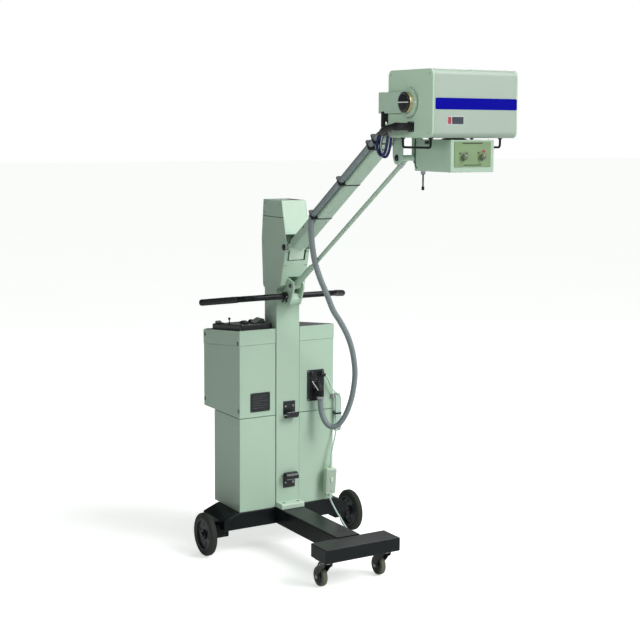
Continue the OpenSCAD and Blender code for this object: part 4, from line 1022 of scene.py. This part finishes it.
for s in (-1, 1):
    parts.append(lathe([(0, 3.2), (7, 3.1), (11, 2.2), (12, 0.8), (12, -0.2), (0, -0.2)], (s * 46, TIP_Y, LOW_Z),
        (s, 0, 0), BLACK, 36))
    parts += [hex_bolt((s * 46, TIP_Y - 55, z), (s, 0, 0), 4.6, 3, BLACK) for z in (TRUN_Z - 18, TRUN_Z + 18)]
clip = prism(disc(CLIP_AT[0], CLIP_AT[2], 15, 40), "xz", TIP_Y - 12, TIP_Y, BLACK, 0.8, 2)
cut(clip, prism(disc(CLIP_AT[0], CLIP_AT[2], 12.2, 32), "xz", TIP_Y - 14, TIP_Y + 2, BLACK, 0))
parts += [clip, block((-70, TIP_Y - 11, 1762), (-58, TIP_Y - 1, 1774), BLACK, 1.2, 2)]
piece("end_bracket_mesh", parts, "bracket", "end_bracket")

SIGNAL = [(-64, -797, 1757), (-66, -793, 1735), (-68, -792, 1712), (-66, -798, 1692), (-64, -810, 1680),
    (-62, -824, 1682), (-61, -835, 1696), (-61, -843, 1716), (-63, -851, 1738), (-67, -858, 1756), (-71, -862, 1766)]
# the thin white tube inside the blue loops is a painted highlight, not a wire
for name, shift, lift, r, mat in (("signal_loop", (0, 0, 0), 1.0, 5.5, BLUE),
        ("signal_loop_2", (-11, 5, 0), 0.94, 5.0, BLUE), ("signal_wire", (-6, -4, 1), 0.9, 1.6, WHITE)):
    sig = smooth_path([(px + shift[0], -829 + (py + 829) * (1 if r > 2 else 0.8) + shift[1], 1764 + (pz - 1764) * lift
        + shift[2]) for px, py, pz in SIGNAL], 5)
    signal = tube(sig, r, mat, 16, name)
    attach(signal, "bracket")

lobes = []
for k in range(96):
    a = 2 * pi * k / 96
    r = 47.6 + 1.6 * cos(10 * a)
    lobes.append((TIP_Y + r * cos(a), TIP_Z + r * sin(a)))
knob_body = prism(lobes, "yz", -71, -52, GLOSS, 3.2, 4, 30)
parts = [knob_body, lathe([(0, 1.2), (9, 1.2), (12, 0.3), (26, -0.4), (30, -0.6), (0, -0.8)], (-71, TIP_Y, TIP_Z),
    LEFT, BLACK, 48), lathe([(8.05, 5), (20, 5), (20, 0.6), (19, 0), (8.05, 0)], (-47, TIP_Y, TIP_Z), LEFT, ZINC, 40),
    block((-71.9, TIP_Y - 2, TIP_Z + 18), (-70.6, TIP_Y + 2, TIP_Z + 33), WHITE, 0.2, 2)]
piece("lock_knob", parts, "arm_lock", "arm_lock_knob")

outer, inner = YOKE_X, YOKE_X - 8
strap = [(-outer, TRUN_Y), (-inner, TRUN_Y)] + disc(-inner + 8, -968, 8, 8, 180, 90) + disc(inner - 8, -968, 8, 8, 90,
    0)
strap += [(inner, TRUN_Y), (outer, TRUN_Y)] + disc(outer - 16, -964, 16, 8, 0, 90) + disc(-outer + 16, -964, 16, 8,
    90, 180)
parts = [prism(strap, "xy", TRUN_Z - 36, TRUN_Z + 36, GREEN, 1.6, 3, 40)]
for s in (-1, 1):
    eye = prism(disc(TRUN_Y, TRUN_Z, 50, 72), "yz", *span(s, inner, outer), GREEN, 1.6, 3, 40)
    cut(eye, prism(disc(TRUN_Y, TRUN_Z, 10.1, 32), "yz", s * 183.5 - 6, s * 183.5 + 6, DARK_SHADE_AND_LINES, 0))
    parts.append(eye)
parts += [pin(15, 42, -1, (0, -949, TRUN_Z), BACK, ZINC, 40),
    lathe([(15, 5), (28, 5), (30, 3), (30, -0.4), (15, -0.4)], (0, -948, TRUN_Z), BACK, GREEN, 48),
    block((-191.5, -994, 1784), (-180.5, -980, TRUN_Z - 30), BLACK, 1.4, 2)]
for k in range(6):
    a = radians(60 * k)
    parts.append(hex_bolt((22.5 * cos(a), -961, TRUN_Z + 22.5 * sin(a)), FRONT, 3.2, 3, BLACK))
piece("yoke_strap", parts, "yoke", "yoke")
loop_at = whole[second]
loop_dir = (whole[second + 3] - whole[second - 3]).normalized()
band = lathe(both_ways([(12.7, 4), (14.4, 4), (14.8, 3)]), tuple(loop_at), tuple(loop_dir), BLACK, 40)
piece("yoke_hose_band", [band], "yoke")

parts = []
for s in (-1, 1):
    prof = [(12, 0.1), (34, 0.1), (34.6, 0.8)]
    for k in range(4):
        prof += [(35, 1.6 + 2.4 * k), (35, 2.9 + 2.4 * k), (34.5, 3.2 + 2.4 * k)]
    prof += [(34.6, 11.2), (33.8, 12), (12, 12)]
    parts += [lathe(prof, (s * YOKE_X, TRUN_Y, TRUN_Z), (s, 0, 0), BRASS, 96),
        lathe([(0, 18), (20, 18), (31, 17.4), (33.4, 15.8), (34, 14), (34, 12), (0, 12)],
        (s * YOKE_X, TRUN_Y, TRUN_Z), (s, 0, 0), BLACK, 72),
        slab(s, 205.0, 205.9, (TRUN_Y - 30, TRUN_Z - 1.7), (TRUN_Y + 30, TRUN_Z + 1.7), WHITE, 0)]
    for k in range(24):
        long = 4 if k % 6 == 0 else 2.4
        parts.append(prism(tick(TRUN_Y, TRUN_Z, 30.5, 30.5 - long, 0.35, 15 * k), "yz", *span(s, 204.4, 205.4), WHITE,
            0))
    parts.append(slab(s, 187.3, 188.1, (TRUN_Y - 50, TRUN_Z - 2), (TRUN_Y - 36, TRUN_Z + 2), WHITE, 0))
    parts.append(slab(s, 188, 199, (TRUN_Y - 35.6, TRUN_Z - 1.2), (TRUN_Y - 34.4, TRUN_Z + 1.2), WHITE, 0))
piece("tilt_dial_set", parts, "yoke", "tilt_dials")

# ---- tube head

HC = HEAD_Z0 + 113.5
shell = prism(rounded(TRUN_Y, HC, 260, 227, 20, 10), "yz", -169.5, 169.5, CREAM, 0.8, 2, 40)
parts = [shell, lathe([(24, -1), (24, 5.2), (33, 5.2), (34, 4.2), (34, -1)], (0, COLL_Y, HEAD_Z0), DOWN, BLACK, 64)]
yf = TRUN_Y - 130
stripe = [(-166, 1847), (-160, 1845), (168, 1845), (174, 1848), (174, 1880), (168, 1883), (-160, 1883), (-166, 1881)]
parts.append(prism(stripe, "xz", yf - 0.5, yf + 0.4, STRIPE, 0))
parts.append(block((-116, yf - 0.3, 1795), (-49, yf + 0.4, 1823), ZINC, 0))
parts.append(block((-114, yf - 0.5, 1797), (-101, yf + 0.4, 1821), RED, 0))
parts.append(block((-98, yf - 0.5, 1797), (-51, yf + 0.4, 1821), SLATE, 0))
parts += [screw((sx, y, HEAD_Z0 + 227), UP, 3.6, 1.8) for sx in (-150, 0, 150) for y in (TRUN_Y - 96, TRUN_Y + 96)]
piece("head_box", parts, "head", "head_shell")
parts = []
for s in (-1, 1):
    a0, a1 = span(s, 169.4, 177.5)
    parts.append(prism(rounded(TRUN_Y, HC, 260, 227, 20, 10), "yz", a0, a1, END, 2.4, 4, 40))
    parts.append(pin(10, 20, -1, (s * HEAD_X, TRUN_Y, TRUN_Z), (s, 0, 0), ZINC, 32))
    parts.append(slab(s, 177.3, 177.9, (TRUN_Y - 66, TRUN_Z - 1.1), (TRUN_Y - 52, TRUN_Z + 1.1), WHITE, 0))
    parts += [screw((s * HEAD_X, TRUN_Y + y, HC + z), (s, 0, 0), 3.4, 1.6)
        for y, z in ((-112, -96), (112, -96), (-112, 96), (112, 96))]
piece("head_end_plates", parts, "head", "head_ends")

parts = []
low = HEAD_Z0 - 32
for s, ys in ((-1, (-1247, -1087)), (1, (-1019, -1179))):
    x = s * 171.5
    y0, y1 = min(ys), max(ys)
    u = [(x, y0, HEAD_Z0 + 1.5), (x, y0, low + 12), (x, y0 + 1.2, low + 5), (x, y0 + 5, low + 1.2), (x, y0 + 12, low),
        (x, (y0 + y1) / 2, low), (x, y1 - 12, low), (x, y1 - 5, low + 1.2), (x, y1 - 1.2, low + 5), (x, y1, low + 12),
        (x, y1, HEAD_Z0 + 1.5)]
    parts.append(tube(smooth_path(u, 3), 4, GLOSS, 20))
    parts += [lathe([(3.8, 3), (7, 3), (7.6, 2.2), (7.6, -2), (3.8, -2)], (x, y, HEAD_Z0 - 1.2), DOWN, BLACK, 28)
        for y in (y0, y1)]
piece("head_handle_pair", parts, "head", "head_handles")

parts = [lathe(both_ways([(0, 110), (16, 110), (18, 100), (18, 84), (38, 66), (42, 52)]), (0, COLL_Y, HEAD_Z0 + 62),
    RIGHT, LENS, 48), block((-90, TRUN_Y - 70, HEAD_Z0 + 110), (90, TRUN_Y + 70, HEAD_Z0 + 188), WIND, 5, 4),
    washer(14, 20, 5, 22, (0, COLL_Y, HEAD_Z0), UP, ZINC, 40)]
piece("tube_and_windings", parts, "head", "tube_insert")

z, y = TRUN_Z - 81, -1143
bend = [(-180, y, z), (-189.5, y, z)]
for k in range(1, 10):
    a = radians(10 * k)
    bend.append((-189.5 - 22 * sin(a), y + 22 - 22 * cos(a), z))
elbow = smooth_path(bend + [(-211.5, -1117, z)], 3)
parts = [prism(rounded(y, z, 34, 34, 4), "yz", -180.8, -177.4, BLACK, 0.8, 2), tube(elbow, 12.6, RUBBER, 28),
    lathe([(12, 0), (14.6, 0), (15, 1), (15, 8.6), (14.2, 9.6), (12, 9.6)], (-180.5, y, z), LEFT, BLACK, 40)]
parts += [lathe([(12, 0), (13.6, 0.6), (13.6, 2.8), (12, 3.4)], (-211.5, -1122 + 5.4 * k, z), BACK, RUBBER, 36)
    for k in range(5)]
parts += [screw((-180.8, y + dy, z + dz), LEFT, 2, 1.2) for dy in (-12.5, 12.5) for dz in (-12.5, 12.5)]
piece("head_cable_elbow", parts, "head", "head_connector")

# ---- collimator

y0, y1 = COLL_Y - 104, COLL_Y + 104
box = block((-90.5, y0, COLL_Z0), (90.5, y1, COLL_Z1), GREEN, 2.2, 4)
cut(box, block((-60, COLL_Y - 60, COLL_Z0 - 2), (60, COLL_Y + 60, COLL_Z0 + 5), DARK_SHADE_AND_LINES, 0))
parts = [box, block((-60.5, COLL_Y - 60.5, COLL_Z0 + 3.2), (60.5, COLL_Y + 60.5, COLL_Z0 + 5.6), LENS, 0.4, 2),
    block((-0.4, COLL_Y - 60, COLL_Z0 + 2.9), (0.4, COLL_Y + 60, COLL_Z0 + 3.3), DARK_SHADE_AND_LINES, 0),
    block((-60, COLL_Y - 0.4, COLL_Z0 + 2.9), (60, COLL_Y + 0.4, COLL_Z0 + 3.3), DARK_SHADE_AND_LINES, 0),
    lathe([(17, 0), (40, 0), (42, 1.6), (42, 4.4), (34.5, 4.8), (34.5, 5.4), (23.8, 5.4), (23.8, 9), (17, 9)],
    (0, COLL_Y, COLL_Z1 - 0.5), UP, BLACK, 64),
    lathe([(5.9, 1), (9, 0.6), (9, 0), (8, -3), (8, -11), (6, -12), (5.9, -12)], CABLE_AT, UP, ZINC, 32),
    lathe([(0, 0), (5.9, 0), (5.9, -11), (2.9, -13), (2.6, -54), (0, -54)], CABLE_AT, UP, RUBBER, 24),
    lathe([(0, -53), (4, -53), (5, -55), (5, -64), (4, -66), (0, -66)], CABLE_AT, UP, BLACK, 28)]
parts += [screw((sx, sy, COLL_Z1), UP, 3.2, 1.6) for sx in (-78, 78) for sy in (y0 + 14, y1 - 14)]
parts += [screw((s * 90.5, y1 - 16, z), (s, 0, 0), 2.8, 1.4) for s in (-1, 1) for z in (COLL_Z0 + 12, COLL_Z1 - 12)]
wire = [(-91.8, y1 - 6, COLL_Z1 + 2), (-92.4, y1 - 5, COLL_Z1 - 10), (-92.4, y1 - 5, COLL_Z0 + 26),
    (-91.6, y1 - 9, COLL_Z0 + 14), (-88, y1 - 14, COLL_Z0 + 6)]
parts.append(tube(smooth_path(wire, 4), 2.0, RUBBER, 12))
piece("collimator_box", parts, "collimator", "collimator_body")

yp = y0
parts = [block((-76, yp - 2, COLL_Z0 + 18), (76, yp + 0.2, COLL_Z1 - 5), FILM, 0.7, 3)]
rules = [((-38, 22.6), (36, 25.6)), ((-44, 95), (40, 99)), ((-56, 60), (-50, 66)), ((-30, 60), (-22, 66)),
    ((20, 62), (27, 68)), ((-41, 38), (-35, 43)), ((35, 38), (41, 43))]
parts += [block((xa, yp - 2.35, COLL_Z0 + za), (xb, yp - 1.8, COLL_Z0 + zb), FILM_DARK, 0)
    for (xa, za), (xb, zb) in rules]
parts += [prism(tick(cx, COLL_Z0 + 52, 14, 17.5, 0.4, 200 - 27.5 * k), "xz", yp - 2.35, yp - 1.8, FILM_DARK, 0)
    for cx in (-38, 38) for k in range(9)]
parts.append(block((40, yp - 2.5, COLL_Z0 + 66), (52, yp - 1.8, COLL_Z0 + 74), RED, 0.2, 2))
piece("collimator_film", parts, "collimator", "collimator_panel")
for name, cx in (("left", -38), ("right", 38)):
    y = yp - 2
    o = lathe([(0, 14), (6.5, 14), (8.6, 12.8), (9.4, 10), (9.8, 3), (10, 1.2), (9.4, 0.7), (4, 0.7), (4, -9),
        (0, -9)], (cx, y, COLL_Z0 + 52), FRONT, KNOB, 48)
    ribs = [lathe([(0, 11), (0.7, 10), (0.9, 1.6), (0, 1)],
        (cx + 9.6 * cos(radians(24 * k)), y, COLL_Z0 + 52 + 9.6 * sin(radians(24 * k))), FRONT, KNOB, 8)
        for k in range(15)]
    mark = block((cx - 0.6, y - 14.3, COLL_Z0 + 54), (cx + 0.6, y - 13.2, COLL_Z0 + 60.5), WHITE, 0.1, 1)
    piece("shutter_dial_" + name, [o, mark] + ribs, "shutter_" + name, "shutter_knob_" + name)
piece("field_lamp_button", [block((-96.5, -1129, 1730), (-93.5, -1107, 1740), BLACK, 1.1, 3),
    pin(3, 0, 9, (-94, -1118, 1735), RIGHT, ZINC, 20)], "lamp_switch", "lamp_button")

# ---- what stays as the CAD has it

for o in bpy.context.scene.objects:
    if o.get("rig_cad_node") and not o.hide_render:
        for sl in o.material_slots:
            sl.material = WIND

# ---- floor, light and backdrop

bm = bmesh.new()
bmesh.ops.create_grid(bm, x_segments=8, y_segments=8, size=60)
bm.transform(Matrix.Translation((0, 0, -0.0008)))
FLOOR = material("floor", (226, 228, 226), 0.9, vary=0.02, bump=0.02, grain=60, patch=0.8, emit=0.10, spec=0.1)
# the camera sees the floor as a lit sweep that runs into the white wall; the object is lit by the plain floor
paper = FLOOR.node_tree
glow = paper.nodes.new("ShaderNodeMapRange")
glow.inputs["To Min"].default_value = 0.10
glow.inputs["To Max"].default_value = 0.80
ray = paper.nodes.new("ShaderNodeLightPath")
paper.links.new(ray.outputs["Is Camera Ray"], glow.inputs["Value"])
paper.links.new(glow.outputs["Result"], paper.nodes["Principled BSDF"].inputs["Emission Strength"])
floor = obj_from("floor", bm, FLOOR)


def area(name, at, to, size, power, tint=(1, 1, 1)):
    d = bpy.data.lights.new(name, "AREA")
    d.shape = "DISK"
    d.size = size
    d.energy = power
    d.color = tint
    o = linked(name, d)
    o.location = at
    o.rotation_mode = "QUATERNION"
    o.rotation_quaternion = (Vector(to) - Vector(at)).to_track_quat("-Z", "Y")
    return o


area("key", (3.4, -4.6, 3.0), (0, 0, 0.9), 2.2, 75)
area("head_side", (-1.7, -1.3, 2.5), (-0.2, -0.7, 1.9), 0.8, 14)
sun = bpy.data.lights.new("window", "SUN")
sun.energy = 2.0
sun.angle = radians(30)
sun_at = linked("window", sun)
sun_at.rotation_mode = "QUATERNION"
sun_at.rotation_quaternion = Vector((-0.42, 0.62, -0.66)).to_track_quat("-Z", "Y")
area("fill", (-2.6, -4.8, 2.4), (0, 0, 1.0), 3.0, 1.5)
area("back", (2.6, 3.6, 3.6), (0, 0, 1.2), 2.6, 60)
area("top", (0.8, -1.0, 5.4), (0, -0.2, 0.4), 3.2, 60)
world = bpy.data.worlds.new("studio")
bpy.context.scene.world = world
world.use_nodes = True
tree = world.node_tree
sky = tree.nodes["Background"]
sky.inputs["Color"].default_value = (0.90, 0.92, 0.94, 1)
sky.inputs["Strength"].default_value = 0.05
wall = tree.nodes.new("ShaderNodeBackground")
wall.inputs["Color"].default_value = (1, 1, 1, 1)
seen = tree.nodes.new("ShaderNodeLightPath")
mix = tree.nodes.new("ShaderNodeMixShader")
tree.links.new(seen.outputs["Is Camera Ray"], mix.inputs["Fac"])
tree.links.new(sky.outputs["Background"], mix.inputs[1])
tree.links.new(wall.outputs["Background"], mix.inputs[2])
tree.links.new(mix.outputs["Shader"], tree.nodes["World Output"].inputs["Surface"])
bpy.context.scene.view_settings.view_transform = "Standard"
